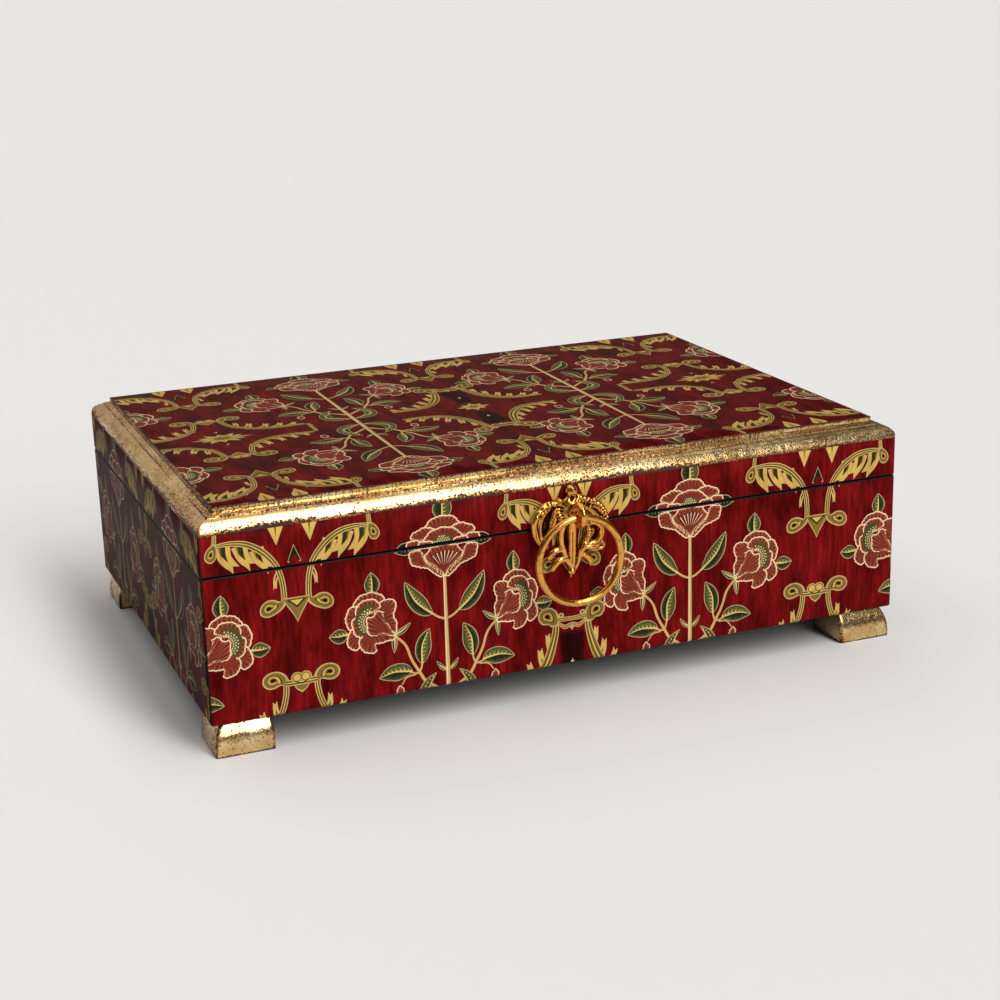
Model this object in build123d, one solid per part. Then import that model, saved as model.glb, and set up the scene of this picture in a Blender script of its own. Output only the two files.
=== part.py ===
from build123d import *
import os
from math import cos, radians, sin, sqrt

# A keepsake box of mitred boards covered with printed paper, with a framed lid,
# gilt mouldings, four gilt block feet, two brass stop hinges and a cast ring pull.
# Millimetres. +X runs along the front, +Y to the back, +Z up, z = 0 on the soles of the feet.

# Overall sizes of the carcase
box_length = 305.0
box_depth = 210.0
foot_height = 13.2
case_height = 60.2
seam_gap = 0.3
lid_rail_height = 16.4

# Boards
wall = 9.0
corner_ease = 1.8
seam_ease = 0.7
bottom_ease = 2.0
bottom_board = 4.0
bottom_rebate = 4.5
board_gap = 0.1
lining_thickness = 1.2
lining_gap = 0.3

# Lid moulding, as seen in section from the outer face inwards
panel_inset = 8.0
panel_thickness = 5.0
panel_ease = 0.4
ledge_thickness = 3.5
ledge_width = 6.0
panel_step = 1.9
band_width = 2.7
band_fall = 0.8
bead_step = 0.5
ovolo_radius = 7.5

# Block feet
foot_width = 24.0
foot_set_back_side = 1.2
foot_toe = 2.5
foot_radius = 20.0

# Stop hinges
hinge_length = 32.0
hinge_inset = 62.0
leaf_width = 7.5
leaf_thickness = 1.0
leaf_gap = 0.1
knuckle_count = 5
knuckle_gap = 0.3
barrel_radius = 2.0
barrel_gap = 0.3
hinge_pin_radius = 1.0
hinge_pin_slack = 0.05
lid_opening = 95.0
stop_inner_radius = 2.4
stop_outer_radius = 4.4
stop_thickness = 1.0
stop_slack = 0.05

# Screws
hinge_screw_pitch = 11.0
hinge_screw_radius = 1.0
hinge_screw_head = 1.8
hinge_screw_length = 9.0
foot_screw_radius = 1.75
foot_screw_head = 3.0
foot_screw_length = 13.0
foot_screw_offset = 5.0
pull_screw_radius = 1.5
pull_screw_head = 2.8
pull_screw_head_height = 1.8
pull_screw_bite = 4.0
screw_slack = 0.05
screw_sink = 0.05
slot_width = 0.5
slot_depth = 0.4
head_rim = 0.1
tip_share = 0.3
washer_radius = 3.5
washer_thickness = 0.6

# Ring pull
pull_x = -0.8
ring_pivot_rise = 5.4
ring_stand_off = 10.0
ring_outer_radius = 19.4
ring_wire_radius = 1.5
eye_hole_radius = 2.9
eye_wire_radius = 1.35
eye_seat_gap = 0.3
casting_stand_off = 0.6
casting_depth = 2.6
pad_radius = 4.0
pad_overlap = 1.0
neck_base_radius = 3.4
neck_tip_radius = 2.3
neck_length = 6.0
hub_half_width = 5.6
hub_half_height = 6.6
hub_rise = 2.4
stroke_stations = 5

# Levels and planes that follow from the sizes
case_top = foot_height + case_height
seam = case_top + seam_gap / 2
lid_bottom = case_top + seam_gap
rail_top = lid_bottom + lid_rail_height
moulding_height = ledge_thickness + panel_thickness
panel_top = rail_top + moulding_height
floor_top = foot_height + bottom_board
front_face = -box_depth / 2
back_face = box_depth / 2
hinge_axis_y = back_face + barrel_gap + barrel_radius
stop_angle = lid_opening / 2
ring_pivot_height = lid_bottom + ring_pivot_rise
ring_radius = ring_outer_radius - ring_wire_radius
eye_radius = eye_hole_radius + eye_wire_radius
eye_height = ring_pivot_height + eye_hole_radius - ring_wire_radius - eye_seat_gap

# How far the pull stands out in front and the stops behind, which centres the model on its base
pull_reach = ring_stand_off + eye_radius + eye_wire_radius
stop_turn = radians(stop_angle)
hinge_reach = (
    barrel_gap + barrel_radius
    + stop_outer_radius * cos(stop_turn)
    - stop_slack * sin(stop_turn)
)
centre_shift = (pull_reach - hinge_reach) / 2


def write(shape, name):
    """Save one piece, moved so that the origin is under the middle of the whole object."""
    placed = Pos(0, centre_shift, 0) * shape
    placed.label = name
    export_step(placed, f"parts/{name}.step")


def corner_waste(ease, height):
    """What easing takes off an upright corner that stands at the origin, for a body at positive X and Y."""
    outside = Rectangle(2 * ease, 2 * ease, align=(Align.MAX, Align.MAX)) - Circle(ease)
    return Pos(ease, ease, -height) * extrude(outside, 3 * height)


def mitred_member(section, length, reach, height, ease):
    """A straight member along X, cut to 45 degrees at both ends, with its upright corners eased.

    The section is drawn with x inwards from the outer face and y upwards.
    """
    bar = extrude(Plane.YZ * section, length, both=True)
    mitres = Polygon(
        (-length / 2, 0), (length / 2, 0),
        (length / 2 - reach, reach), (-length / 2 + reach, reach),
        align=None,
    )
    member = bar & Pos(0, 0, -height) * extrude(mitres, 3 * height)
    waste = Pos(-length / 2, 0, 0) * corner_waste(ease, height)
    member -= waste
    return member - mirror(waste, about=Plane.YZ)


def frame_of_four(section, reach, height, base, ease):
    """Front, back, left and right members of one mitred frame, with eased corners."""
    along = mitred_member(section, box_length, reach, height, ease)
    across = mitred_member(section, box_depth, reach, height, ease)
    return {
        "front": Pos(0, -box_depth / 2, base) * along,
        "back": Pos(0, box_depth / 2, base) * Rot(0, 0, 180) * along,
        "left": Pos(-box_length / 2, 0, base) * Rot(0, 0, -90) * across,
        "right": Pos(box_length / 2, 0, base) * Rot(0, 0, 90) * across,
    }


def case_section():
    """Case wall: rounded foot edge, eased seam edge and a rebate for the bottom board."""
    seat = wall - bottom_rebate
    lines = (
        Polyline(
            (bottom_ease, 0), (seat, 0), (seat, bottom_board), (wall, bottom_board),
            (wall, case_height), (seam_ease, case_height),
        )
        + RadiusArc((seam_ease, case_height), (0, case_height - seam_ease), -seam_ease)
        + Line((0, case_height - seam_ease), (0, bottom_ease))
        + RadiusArc((0, bottom_ease), (bottom_ease, 0), -bottom_ease)
    )
    return make_face(lines)


def lid_rail_section():
    """Lid rail: a plain board with an eased seam edge."""
    lines = (
        Polyline(
            (seam_ease, 0), (wall, 0), (wall, lid_rail_height),
            (0, lid_rail_height), (0, seam_ease),
        )
        + RadiusArc((0, seam_ease), (seam_ease, 0), -seam_ease)
    )
    return make_face(lines)


def moulding_section():
    """Lid moulding: ovolo, small bead step, sloping band and the ledge that carries the panel."""
    band_top = moulding_height - panel_step
    band_foot = band_top - band_fall
    ovolo_in = panel_inset - band_width
    ovolo_top = band_foot - bead_step
    inner = panel_inset + ledge_width
    lines = (
        RadiusArc((0, 0), (ovolo_in, ovolo_top), ovolo_radius)
        + Polyline(
            (ovolo_in, ovolo_top), (ovolo_in, band_foot), (panel_inset, band_top),
            (panel_inset, ledge_thickness), (inner, ledge_thickness), (inner, 0), (0, 0),
        )
    )
    return make_face(lines)


def screw_body(radius, head_radius, length, slack, head_up):
    """A countersunk screw, or with slack the hole it needs, pointing down from z = 0."""
    neck = -head_rim - (head_radius - radius)
    profile = Polyline(
        (0, head_up), (head_radius + slack, head_up), (head_radius + slack, -head_rim),
        (radius + slack, neck), (radius + slack, -length + radius),
        (tip_share * radius, -length - slack), (0, -length - slack), (0, head_up),
    )
    return revolve(Plane.XZ * make_face(profile), Axis.Z)


def driver_slot(head_radius):
    """The straight slot across a screw head whose top is at z = 0."""
    return Box(
        2 * head_radius, slot_width, 2 * slot_depth,
        align=(Align.CENTER, Align.CENTER, Align.CENTER),
    )


def countersunk_screw(radius, head_radius, length):
    """A slotted countersunk screw with its head just under z = 0."""
    screw = screw_body(radius, head_radius, length, 0, 0) - driver_slot(head_radius)
    return Pos(0, 0, -screw_sink) * screw


def countersunk_hole(radius, head_radius, length):
    """The hole for a countersunk screw, open above z = 0."""
    return screw_body(radius, head_radius, length, screw_slack, 1.0)


def hinge_centres():
    """The middle of each hinge along the back."""
    offset = box_length / 2 - hinge_inset
    return {"left": -offset, "right": offset}


def hinge_screw_places():
    """Each hinge screw's place on the back edge, for all hinges."""
    y = back_face - leaf_width / 2
    return [
        (middle + step * hinge_screw_pitch, y)
        for middle in hinge_centres().values()
        for step in (-1, 0, 1)
    ]


def leaf_mortises(face_height):
    """Pockets in a back edge that let both leaves in flush, seen from the given height."""
    size = hinge_length + 2 * leaf_gap
    depth = leaf_width + leaf_gap
    pocket = Box(size, depth, 2 * leaf_thickness, align=(Align.CENTER, Align.MAX, Align.CENTER))
    y = back_face
    return [Pos(x, y, face_height) * pocket for x in hinge_centres().values()]


def knuckle_slots(owner):
    """Centres along X of the knuckles that one leaf owns; the case leaf owns the end ones."""
    pitch = hinge_length / knuckle_count
    first = 0 if owner == "case" else 1
    return [(-hinge_length + pitch) / 2 + i * pitch for i in range(first, knuckle_count, 2)]


def hinge_leaf(owner, middle):
    """One leaf with its knuckles, screw holes and the stop bar behind the barrel."""
    side = -1 if owner == "case" else 1
    face = side * seam_gap / 2
    knuckle = hinge_length / knuckle_count - knuckle_gap
    plate_depth = hinge_axis_y - back_face
    plate = Pos(0, -plate_depth, face + side * leaf_thickness / 2) * Box(
        hinge_length, leaf_width, leaf_thickness, align=(Align.CENTER, Align.MAX, Align.CENTER)
    )
    stop_length = stop_outer_radius - stop_inner_radius
    stop_place = Rot(side * stop_angle, 0, 0) * Pos(
        0, stop_inner_radius, side * (stop_slack + stop_thickness / 2)
    )
    stop = stop_place * Box(
        hinge_length, stop_length, stop_thickness,
        align=(Align.CENTER, Align.MIN, Align.CENTER),
    )
    leaf = plate + stop
    web_place = Rot(side * stop_angle, 0, 0) * Pos(
        0, 0, side * (stop_slack + stop_thickness / 2)
    )
    for x in knuckle_slots(owner):
        barrel = Rot(0, 90, 0) * Cylinder(barrel_radius, knuckle)
        tab = Pos(0, 0, face + side * leaf_thickness / 2) * Box(
            knuckle, plate_depth, leaf_thickness,
            align=(Align.CENTER, Align.MAX, Align.CENTER),
        )
        web = web_place * Box(
            knuckle, stop_inner_radius, stop_thickness,
            align=(Align.CENTER, Align.MIN, Align.CENTER),
        )
        leaf += Pos(x, 0, 0) * (barrel + tab + web)
    leaf -= Rot(0, 90, 0) * Cylinder(hinge_pin_radius + hinge_pin_slack, 2 * hinge_length)
    leaf = Pos(middle, hinge_axis_y, seam) * leaf
    turn = Rot(0, 0, 0) if owner == "case" else Rot(180, 0, 0)
    hole = turn * countersunk_hole(hinge_screw_radius, hinge_screw_head, hinge_screw_length)
    for x, y in hinge_screw_places():
        if abs(x - middle) < hinge_length / 2:
            leaf -= Pos(x, y, seam + face) * hole
    return leaf


def foot():
    """A block foot in its corner, at negative X and Y: two outer faces rounded in at the top."""
    rise = foot_height - foot_toe
    inset = foot_radius - sqrt(foot_radius**2 - rise**2)
    profile = (
        Polyline((inset, foot_height), (foot_width, foot_height), (foot_width, 0), (0, 0),
                 (0, foot_toe))
        + RadiusArc((0, foot_toe), (inset, foot_height), foot_radius)
    )
    section = make_face(profile)
    faced_front = extrude(Plane.YZ * section, foot_width)
    faced_side = extrude(Plane.XZ * section, -foot_width)
    return faced_front & faced_side


def foot_centres():
    """Each foot's sign along X and Y."""
    return {
        "front_left": (-1, -1), "front_right": (1, -1),
        "rear_left": (-1, 1), "rear_right": (1, 1),
    }


def foot_screw_place(sign_x, sign_y):
    """Where a foot's screw passes through the bottom board."""
    return (
        sign_x * (box_length / 2 - wall - foot_screw_offset),
        sign_y * (box_depth / 2 - wall - foot_screw_offset),
    )


def place_foot(sign_x, sign_y):
    """The corner foot mirrored to its corner, with the hole for its screw."""
    block = foot()
    if sign_x > 0:
        block = mirror(block, about=Plane.YZ)
    if sign_y > 0:
        block = mirror(block, about=Plane.XZ)
    corner_x = sign_x * (box_length / 2 - foot_set_back_side)
    block = Pos(corner_x, sign_y * box_depth / 2, 0) * block
    x, y = foot_screw_place(sign_x, sign_y)
    hole = countersunk_hole(foot_screw_radius, foot_screw_head, foot_screw_length)
    return block - Pos(x, y, floor_top) * hole


# Ornament strokes: points as (across, up) from the ring's pivot, and the radius at each end
# and in the middle. Each stroke is one limb of the casting.
strokes = {
    "stem": ([(0, -3), (-0.1, -10), (-0.3, -17), (-0.6, -23.5)], (2.2, 1.7, 1.3)),
    "left_leaf_rim": ([(-6.4, 4.2), (-11.6, 3.6), (-16.0, -1.6), (-15.6, -8.0), (-12.4, -12.2)],
                      (1.3, 1.6, 1.4)),
    "left_leaf_vein": ([(-6.6, 3.6), (-7.6, -0.8), (-9.2, -5.4), (-13.2, -11.0)], (1.3, 1.2, 0.9)),
    "left_curl": ([(-5.2, 4.4), (-5.8, 0.6), (-4.8, -2.8), (-7.8, -5.8)], (1.4, 1.5, 1.1)),
    "right_strand": ([(0.5, 6.6), (3.6, 4.8), (6.0, 4.7), (8.6, 2.6)], (1.3, 1.4, 1.3)),
    "right_loop_rim": ([(7.6, 3.2), (10.8, 2.6), (13.6, -0.6), (15.4, -4.6)], (1.3, 1.5, 1.1)),
    "right_loop_vein": ([(3.5, 2.2), (8.0, 0.4), (11.0, -2.8), (15.2, -4.8)], (1.3, 1.2, 0.9)),
    "left_arm": ([(-2.4, -3), (-5.0, -10.0), (-3.8, -16), (-1.2, -22.2)], (1.4, 1.2, 0.9)),
    "left_upper_curl": ([(-3.9, -15.6), (-6.4, -14.8), (-9.0, -15.7), (-10.2, -18.2)],
                        (1.0, 1.5, 1.1)),
    "left_lower_curl": ([(-1.9, -21.0), (-4.6, -18.8), (-7.2, -20.0), (-8.9, -23.4)],
                        (1.0, 1.6, 1.0)),
    "right_arm": ([(2.8, -2.6), (7.4, -7.4), (6.6, -12.0), (3.4, -17.4)], (1.4, 1.4, 1.2)),
    "right_leaf": ([(6.8, -6.0), (12.4, -7.4), (12.6, -10.8), (6.2, -13.2)], (1.1, 1.4, 1.0)),
    "right_upper_curl": ([(3.6, -17.0), (6.0, -15.2), (10.0, -15.9), (13.2, -15.4), (12.3, -13.0)],
                         (1.1, 1.7, 1.2)),
    "right_lower_curl": ([(3.2, -17.6), (5.8, -18.8), (7.6, -21.0), (7.9, -23.4)],
                         (1.1, 1.6, 1.0)),
    "right_foot": ([(3.6, -15.8), (2.4, -20.6), (0.4, -24.2)], (1.1, 1.0, 0.9)),
}
balls = {
    "crown_ball": ((0, 9.0), 2.4),
    "shoulder_ball": ((-5.4, 4.8), 1.9),
    "stem_tip": ((-0.7, -24.4), 1.8),
    "left_leaf_tip": ((-12.6, -12.0), 1.7),
}

def limb(points, radii):
    """One tapering limb of the casting, lofted through circles along a smooth line."""
    path = Spline([Vector(x, -casting_depth, z) for x, z in points])
    start, middle, end = radii
    sections = []
    for i in range(stroke_stations):
        t = i / (stroke_stations - 1)
        swell = 4 * t * (1 - t)
        radius = (start * (1 - t) + end * t) * (1 - swell) + middle * swell
        plane = Plane(origin=path @ t, x_dir=(0, 1, 0), z_dir=path % t)
        sections.append(plane * Circle(radius))
    return loft(sections)


def pull_casting():
    """The cast ornament: hub, limbs and balls in front of a pad, with a neck and the ring's eye."""
    eye_up = eye_height - ring_pivot_height
    hub = Pos(0, -casting_depth, eye_up) * scale(
        Sphere(1), by=(hub_half_width, hub_rise, hub_half_height)
    )
    limbs = [limb(points, radii) for points, radii in strokes.values()]
    spheres = [
        Pos(x, -casting_depth, z) * Sphere(radius) for (x, z), radius in balls.values()
    ]
    body = Part() + [hub, *limbs, *spheres]
    reach = ring_outer_radius + hub_half_height
    back = Pos(0, -casting_stand_off, 0) * Box(
        4 * reach, 2 * reach, 4 * reach, align=(Align.CENTER, Align.MIN, Align.CENTER)
    )
    body -= back
    to_front = Rot(90, 0, 0)
    pad = to_front * Cylinder(
        pad_radius, casting_stand_off + pad_overlap, align=(Align.CENTER, Align.CENTER, Align.MIN)
    )
    neck = Pos(0, -casting_stand_off, 0) * to_front * Cone(
        neck_base_radius, neck_tip_radius, neck_length - casting_stand_off,
        align=(Align.CENTER, Align.CENTER, Align.MIN),
    )
    body += Pos(0, 0, eye_up) * (pad + neck)
    eye = Rot(0, 90, 0) * Torus(eye_radius, eye_wire_radius)
    body += Pos(0, -ring_stand_off, eye_up) * eye
    bite = to_front * Cylinder(
        pull_screw_radius + screw_slack, pull_screw_bite,
        align=(Align.CENTER, Align.CENTER, Align.MIN),
    )
    body -= Pos(0, 0, eye_up) * bite
    return Pos(pull_x, front_face, ring_pivot_height) * body


def pull_ring():
    """The ring, hanging from the eye in a plane parallel to the front."""
    ring = Rot(90, 0, 0) * Torus(ring_radius, ring_wire_radius)
    return Pos(pull_x, front_face - ring_stand_off, ring_pivot_height - ring_radius) * ring


def pull_fixing_place():
    """The axis of the pull's screw where it leaves the inner face of the front lid rail."""
    return Pos(pull_x, front_face + wall, eye_height) * Rot(90, 0, 0)


def pull_washer():
    """The washer under the screw head, inside the lid."""
    disc = Cylinder(washer_radius, washer_thickness) - Cylinder(
        pull_screw_radius + screw_slack, 2 * washer_thickness
    )
    return pull_fixing_place() * Pos(0, 0, -washer_thickness / 2) * disc


def pull_screw():
    """The pan-head screw that holds the casting, from inside the lid."""
    length = washer_thickness + wall + pull_screw_bite - 2 * screw_slack
    shank = Cylinder(pull_screw_radius, length, align=(Align.CENTER, Align.CENTER, Align.MIN))
    head = Cylinder(
        pull_screw_head, pull_screw_head_height, align=(Align.CENTER, Align.CENTER, Align.MAX)
    )
    rim = head.edges().sort_by(Axis.Z)[0]
    head = fillet(rim, pull_screw_head_height / 3)
    slot = Pos(0, 0, -pull_screw_head_height) * driver_slot(pull_screw_head)
    return pull_fixing_place() * Pos(0, 0, -washer_thickness) * (shank + head - slot)


os.makedirs("parts", exist_ok=True)

# Case: four mitred walls, with the back one let in for the hinges
case_walls = frame_of_four(case_section(), wall, case_height, foot_height, corner_ease)
for pocket in leaf_mortises(case_top):
    case_walls["back"] -= pocket
case_screw_hole = countersunk_hole(hinge_screw_radius, hinge_screw_head, hinge_screw_length)
for x, y in hinge_screw_places():
    case_walls["back"] -= Pos(x, y, case_top) * case_screw_hole
for side, shape in case_walls.items():
    write(shape, f"case_{side}")

# Bottom board and felt lining
board_length = box_length - 2 * (wall - bottom_rebate + board_gap)
board_depth = box_depth - 2 * (wall - bottom_rebate + board_gap)
case_bottom = Pos(0, 0, foot_height) * extrude(Rectangle(board_length, board_depth), bottom_board)
foot_screw_hole = countersunk_hole(foot_screw_radius, foot_screw_head, foot_screw_length)
for signs in foot_centres().values():
    x, y = foot_screw_place(*signs)
    case_bottom -= Pos(x, y, floor_top) * foot_screw_hole
write(case_bottom, "case_bottom")

lining = Rectangle(box_length - 2 * (wall + lining_gap), box_depth - 2 * (wall + lining_gap))
write(Pos(0, 0, floor_top) * extrude(lining, lining_thickness), "floor_lining")

# Feet and their screws
foot_screw = countersunk_screw(foot_screw_radius, foot_screw_head, foot_screw_length)
foot_screws = []
for name, signs in foot_centres().items():
    write(place_foot(*signs), f"foot_{name}")
    x, y = foot_screw_place(*signs)
    foot_screws.append(Pos(x, y, floor_top) * foot_screw)
write(Compound(foot_screws), "foot_screws")

# Lid rails, with the back one let in for the hinges and the front one drilled for the pull
lid_rails = frame_of_four(lid_rail_section(), wall, lid_rail_height, lid_bottom, corner_ease)
for pocket in leaf_mortises(lid_bottom):
    lid_rails["back"] -= pocket
for x, y in hinge_screw_places():
    lid_rails["back"] -= Pos(x, y, lid_bottom) * Rot(180, 0, 0) * case_screw_hole
drill = Pos(0, 0, -wall) * Cylinder(pull_screw_radius + screw_slack, 4 * wall)
lid_rails["front"] -= pull_fixing_place() * drill
for side, shape in lid_rails.items():
    write(shape, f"lid_{side}")

# Mouldings and the panel that they frame
moulding_reach = panel_inset + ledge_width
mouldings = frame_of_four(
    moulding_section(), moulding_reach, moulding_height, rail_top, corner_ease
)
for side, shape in mouldings.items():
    write(shape, f"moulding_{side}")

panel_edge = 2 * (panel_inset + board_gap)
panel = extrude(Rectangle(box_length - panel_edge, box_depth - panel_edge), panel_thickness)
panel = fillet(panel.edges().group_by(Axis.Z)[-1], panel_ease)
write(Pos(0, 0, rail_top + ledge_thickness) * panel, "lid_panel")

# Hinges: each has a case leaf, a lid leaf and a pin held by the case leaf
pin = Rot(0, 90, 0) * Cylinder(hinge_pin_radius, hinge_length)
for name, middle in hinge_centres().items():
    write(hinge_leaf("case", middle), f"hinge_{name}_case_leaf")
    write(hinge_leaf("lid", middle), f"hinge_{name}_lid_leaf")
    write(Pos(middle, hinge_axis_y, seam) * pin, f"hinge_{name}_pin")

hinge_screw = countersunk_screw(hinge_screw_radius, hinge_screw_head, hinge_screw_length)
case_screws = [Pos(x, y, case_top) * hinge_screw for x, y in hinge_screw_places()]
lid_screws = [
    Pos(x, y, lid_bottom) * Rot(180, 0, 0) * hinge_screw for x, y in hinge_screw_places()
]
write(Compound(case_screws), "hinge_screws_case")
write(Compound(lid_screws), "hinge_screws_lid")

# Ring pull
write(pull_casting(), "pull_ornament")
write(pull_ring(), "pull_ring")
write(pull_washer(), "pull_washer")
write(pull_screw(), "pull_screw")

print("centre shift", round(centre_shift, 3))
print("ring pivot", pull_x, round(front_face - ring_stand_off + centre_shift, 3), round(ring_pivot_height, 3))
print("hinge axis", round(hinge_axis_y + centre_shift, 3), round(seam, 3))
print("height", round(panel_top, 3))
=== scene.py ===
# %% [markdown]
# # A papered keepsake box with gilt mouldings
#
# The real box is made of thin boards covered with printed paper under clear lacquer. Its lid has
# mouldings covered with metal leaf, it stands on four gilt block feet, and a cast ring pull hangs
# on its front. The construction is loaded as a fixed frame, and these cells give it its surfaces.

from math import asin, atan2, cos, exp, pi, radians, sin, sqrt, tau

import bmesh
import bpy
import numpy as np
from mathutils import Euler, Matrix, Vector, noise
from mathutils.geometry import delaunay_2d_cdt


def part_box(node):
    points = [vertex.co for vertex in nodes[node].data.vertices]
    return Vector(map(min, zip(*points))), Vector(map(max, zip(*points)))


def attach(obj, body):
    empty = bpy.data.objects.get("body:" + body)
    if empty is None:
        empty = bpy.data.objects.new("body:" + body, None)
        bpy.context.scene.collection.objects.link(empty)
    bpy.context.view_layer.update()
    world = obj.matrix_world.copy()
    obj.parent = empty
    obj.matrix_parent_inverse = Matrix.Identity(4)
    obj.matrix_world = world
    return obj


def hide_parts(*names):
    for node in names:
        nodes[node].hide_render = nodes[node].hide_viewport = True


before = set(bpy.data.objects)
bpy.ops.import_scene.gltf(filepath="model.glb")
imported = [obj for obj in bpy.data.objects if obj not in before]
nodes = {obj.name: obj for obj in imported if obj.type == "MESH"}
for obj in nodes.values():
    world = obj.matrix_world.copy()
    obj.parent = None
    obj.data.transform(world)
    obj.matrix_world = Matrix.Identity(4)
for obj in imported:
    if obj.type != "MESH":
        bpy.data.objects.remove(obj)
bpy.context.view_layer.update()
MM = 0.001

# %% [markdown]
# ## Sizes read from the frame
#
# Nothing here is measured twice. Each length that the surfaces need, such as the level of the seam
# or the run of the front, is read from the boxes of the pieces it belongs to, so the paper and the
# gilding end where the boards end.

# %% Read the sizes
def node_box(name):
    """A piece's lowest and highest corner, in millimetres."""
    low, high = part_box(name)
    return low / MM, high / MM


case_low, case_high = node_box("case_front")
lid_low, lid_high = node_box("lid_front")
panel_low, panel_high = node_box("lid_panel")
left_edge, right_edge = node_box("case_left")[0].x, node_box("case_right")[1].x
front_face, back_face = case_low.y, node_box("case_back")[1].y
middle_y = (front_face + back_face) / 2
case_floor, case_top = case_low.z, case_high.z
lid_floor, lid_top = lid_low.z, lid_high.z
panel_top = panel_high.z
corner_ease, seam_ease, foot_ease = 1.8, 0.7, 2.0
paper_thickness = 0.08
print("front", round(right_edge - left_edge, 2), "deep", round(back_face - front_face, 2), "seam", case_top)

# %% [markdown]
# ## The camera
#
# The photograph was taken from the front left, from a little above the box. The camera's place and
# turn come from fitting a pinhole camera to the corners of the box, so the render lines up with the
# photograph. A long lens keeps the box's sides nearly parallel, as they are there.

# %% Place the camera
camera_place = Vector((-298.8, -780.1, 312.2)) * MM
camera_turn = Euler((radians(72.943), radians(1.599), radians(-22.012)))
camera_lens = 69.77

camera = bpy.data.objects.new("camera", bpy.data.cameras.new("camera"))
bpy.context.scene.collection.objects.link(camera)
camera.location, camera.rotation_euler = camera_place, camera_turn
camera.data.lens, camera.data.sensor_width = camera_lens, 36
camera.data.clip_start, camera.data.clip_end = 0.01, 60
bpy.context.scene.camera = camera
bpy.context.scene.view_settings.view_transform = "Standard"
print("camera is", round((camera_place - Vector((0, 0, 0.05))).length, 3), "m from the box")

# %% [markdown]
# ## Colours and shader nodes
#
# Paint makers and printers name colours as people see them, so every colour here is an sRGB hex
# value. A shader needs linear light, so one function turns the hex value into it. A second small
# function adds any shader node with its settings and links, which keeps each material short.

# %% Colour and node helpers
def linear(hex_colour):
    """An sRGB hex colour such as #7b1118 as linear red, green, blue and alpha."""
    def channel(value):
        value /= 255
        return value / 12.92 if value <= 0.04045 else ((value + 0.055) / 1.055) ** 2.4
    digits = hex_colour.lstrip("#")
    return (*(channel(int(digits[i:i + 2], 16)) for i in (0, 2, 4)), 1.0)


def add_node(material, kind, settings=None, **inputs):
    """Add one shader node. An input is called by its name, or by i and its number, and is a value or
    a socket that it is linked to."""
    tree = material.node_tree
    node = tree.nodes.new(kind)
    for key, value in (settings or {}).items():
        setattr(node, key, value)
    for key, value in inputs.items():
        spot = node.inputs[int(key[1:]) if key[1:].isdigit() else key.replace("_", " ")]
        if isinstance(value, bpy.types.NodeSocket):
            tree.links.new(value, spot)
        else:
            spot.default_value = value
    return node


def new_material(name, **surface):
    """A material of one principled surface. Returns it with its surface node."""
    material = bpy.data.materials.new(name)
    material.use_nodes = True
    shader = material.node_tree.nodes["Principled BSDF"]
    for key, value in surface.items():
        shader.inputs[key.replace("_", " ")].default_value = value
    return material, shader


def feed(surface, **sockets):
    """Link sockets to the inputs of a principled surface."""
    for key, socket in sockets.items():
        surface.id_data.links.new(socket, surface.inputs[key.replace("_", " ")])


colour_mix, multiply_add = {"data_type": "RGBA"}, {"operation": "MULTIPLY_ADD"}
print("crimson ground in linear light:", [round(v, 4) for v in linear("#7b1118")])

# %% [markdown]
# ## Light and floor
#
# The gilding in the photograph mirrors one bright, soft strip of light. It is white on the front foot
# and along the left half of the front moulding, from low in front to straight above, and it ends
# where the mirrored view leans more than about 23 degrees to the right. So the strip is an arch of
# five broad suns, which light the near and the far floor alike. The photograph's shadows are faint,
# so much of its light is wide: a broad window high behind, a little to the left, softens them, and
# a low warm wall behind shows in the left moulding.

# %% Light the box
def broad_sun(name, rise, lean, spread, strength, colour):
    """A soft distant source, on an arch from the front horizon (0) over the top, leaning to the right."""
    lamp = bpy.data.objects.new(name, bpy.data.lights.new(name, "SUN"))
    lamp.data.energy, lamp.data.angle, lamp.data.color = strength, radians(spread), linear(colour)[:3]
    up, side = radians(rise), radians(lean)
    towards = Vector((sin(side), -cos(side) * cos(up), cos(side) * sin(up)))
    lamp.rotation_euler = towards.to_track_quat("Z", "Y").to_euler()
    bpy.context.scene.collection.objects.link(lamp)


window_arch = {25: 0.78, 42: 0.84, 59: 0.68, 76: 0.5, 93: 0.16}
window_lean, window_spread = 13, 19.5
for rise, strength in window_arch.items():
    broad_sun(f"window_{rise}", rise, window_lean, window_spread, strength, "#fffefc")
broad_sun("back_window", 112, -12, 80, 1.12, "#fffcf8")
broad_sun("back_wall", 168, 0, 60, 0.38, "#ffe8cc")
print("suns:", len(bpy.data.lights))

# %% [markdown]
# ## The room and its floor
#
# A studio has pale walls and a pale painted floor. The walls only send back a little even light, so
# they are the world's one colour. The floor is matt, so that it takes the soft shadows and nothing
# is mirrored in it, and it reaches far enough for its edge to look like a horizon.

# %% Room and floor
world = bpy.data.worlds.new("room")
bpy.context.scene.world = world
world.use_nodes = True
for key, value in (("Color", linear("#e6e6e4")), ("Strength", 0.1)):
    world.node_tree.nodes["Background"].inputs[key].default_value = value

floor_reach = 14
floor_mesh = bpy.data.meshes.new("floor")
floor_mesh.from_pydata([(x * floor_reach, y * floor_reach, 0) for x, y in ((-1, -1), (1, -1), (1, 1), (-1, 1))], [],
                       [(0, 1, 2, 3)])
floor = bpy.data.objects.new("floor", floor_mesh)
bpy.context.scene.collection.objects.link(floor)
painted_floor, _ = new_material("white_painted_floor", Base_Color=linear("#e2e2e2"), Roughness=0.75,
                                Specular_IOR_Level=0.25)
floor.data.materials.append(painted_floor)
print("the floor is", 2 * floor_reach, "m wide")

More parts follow.
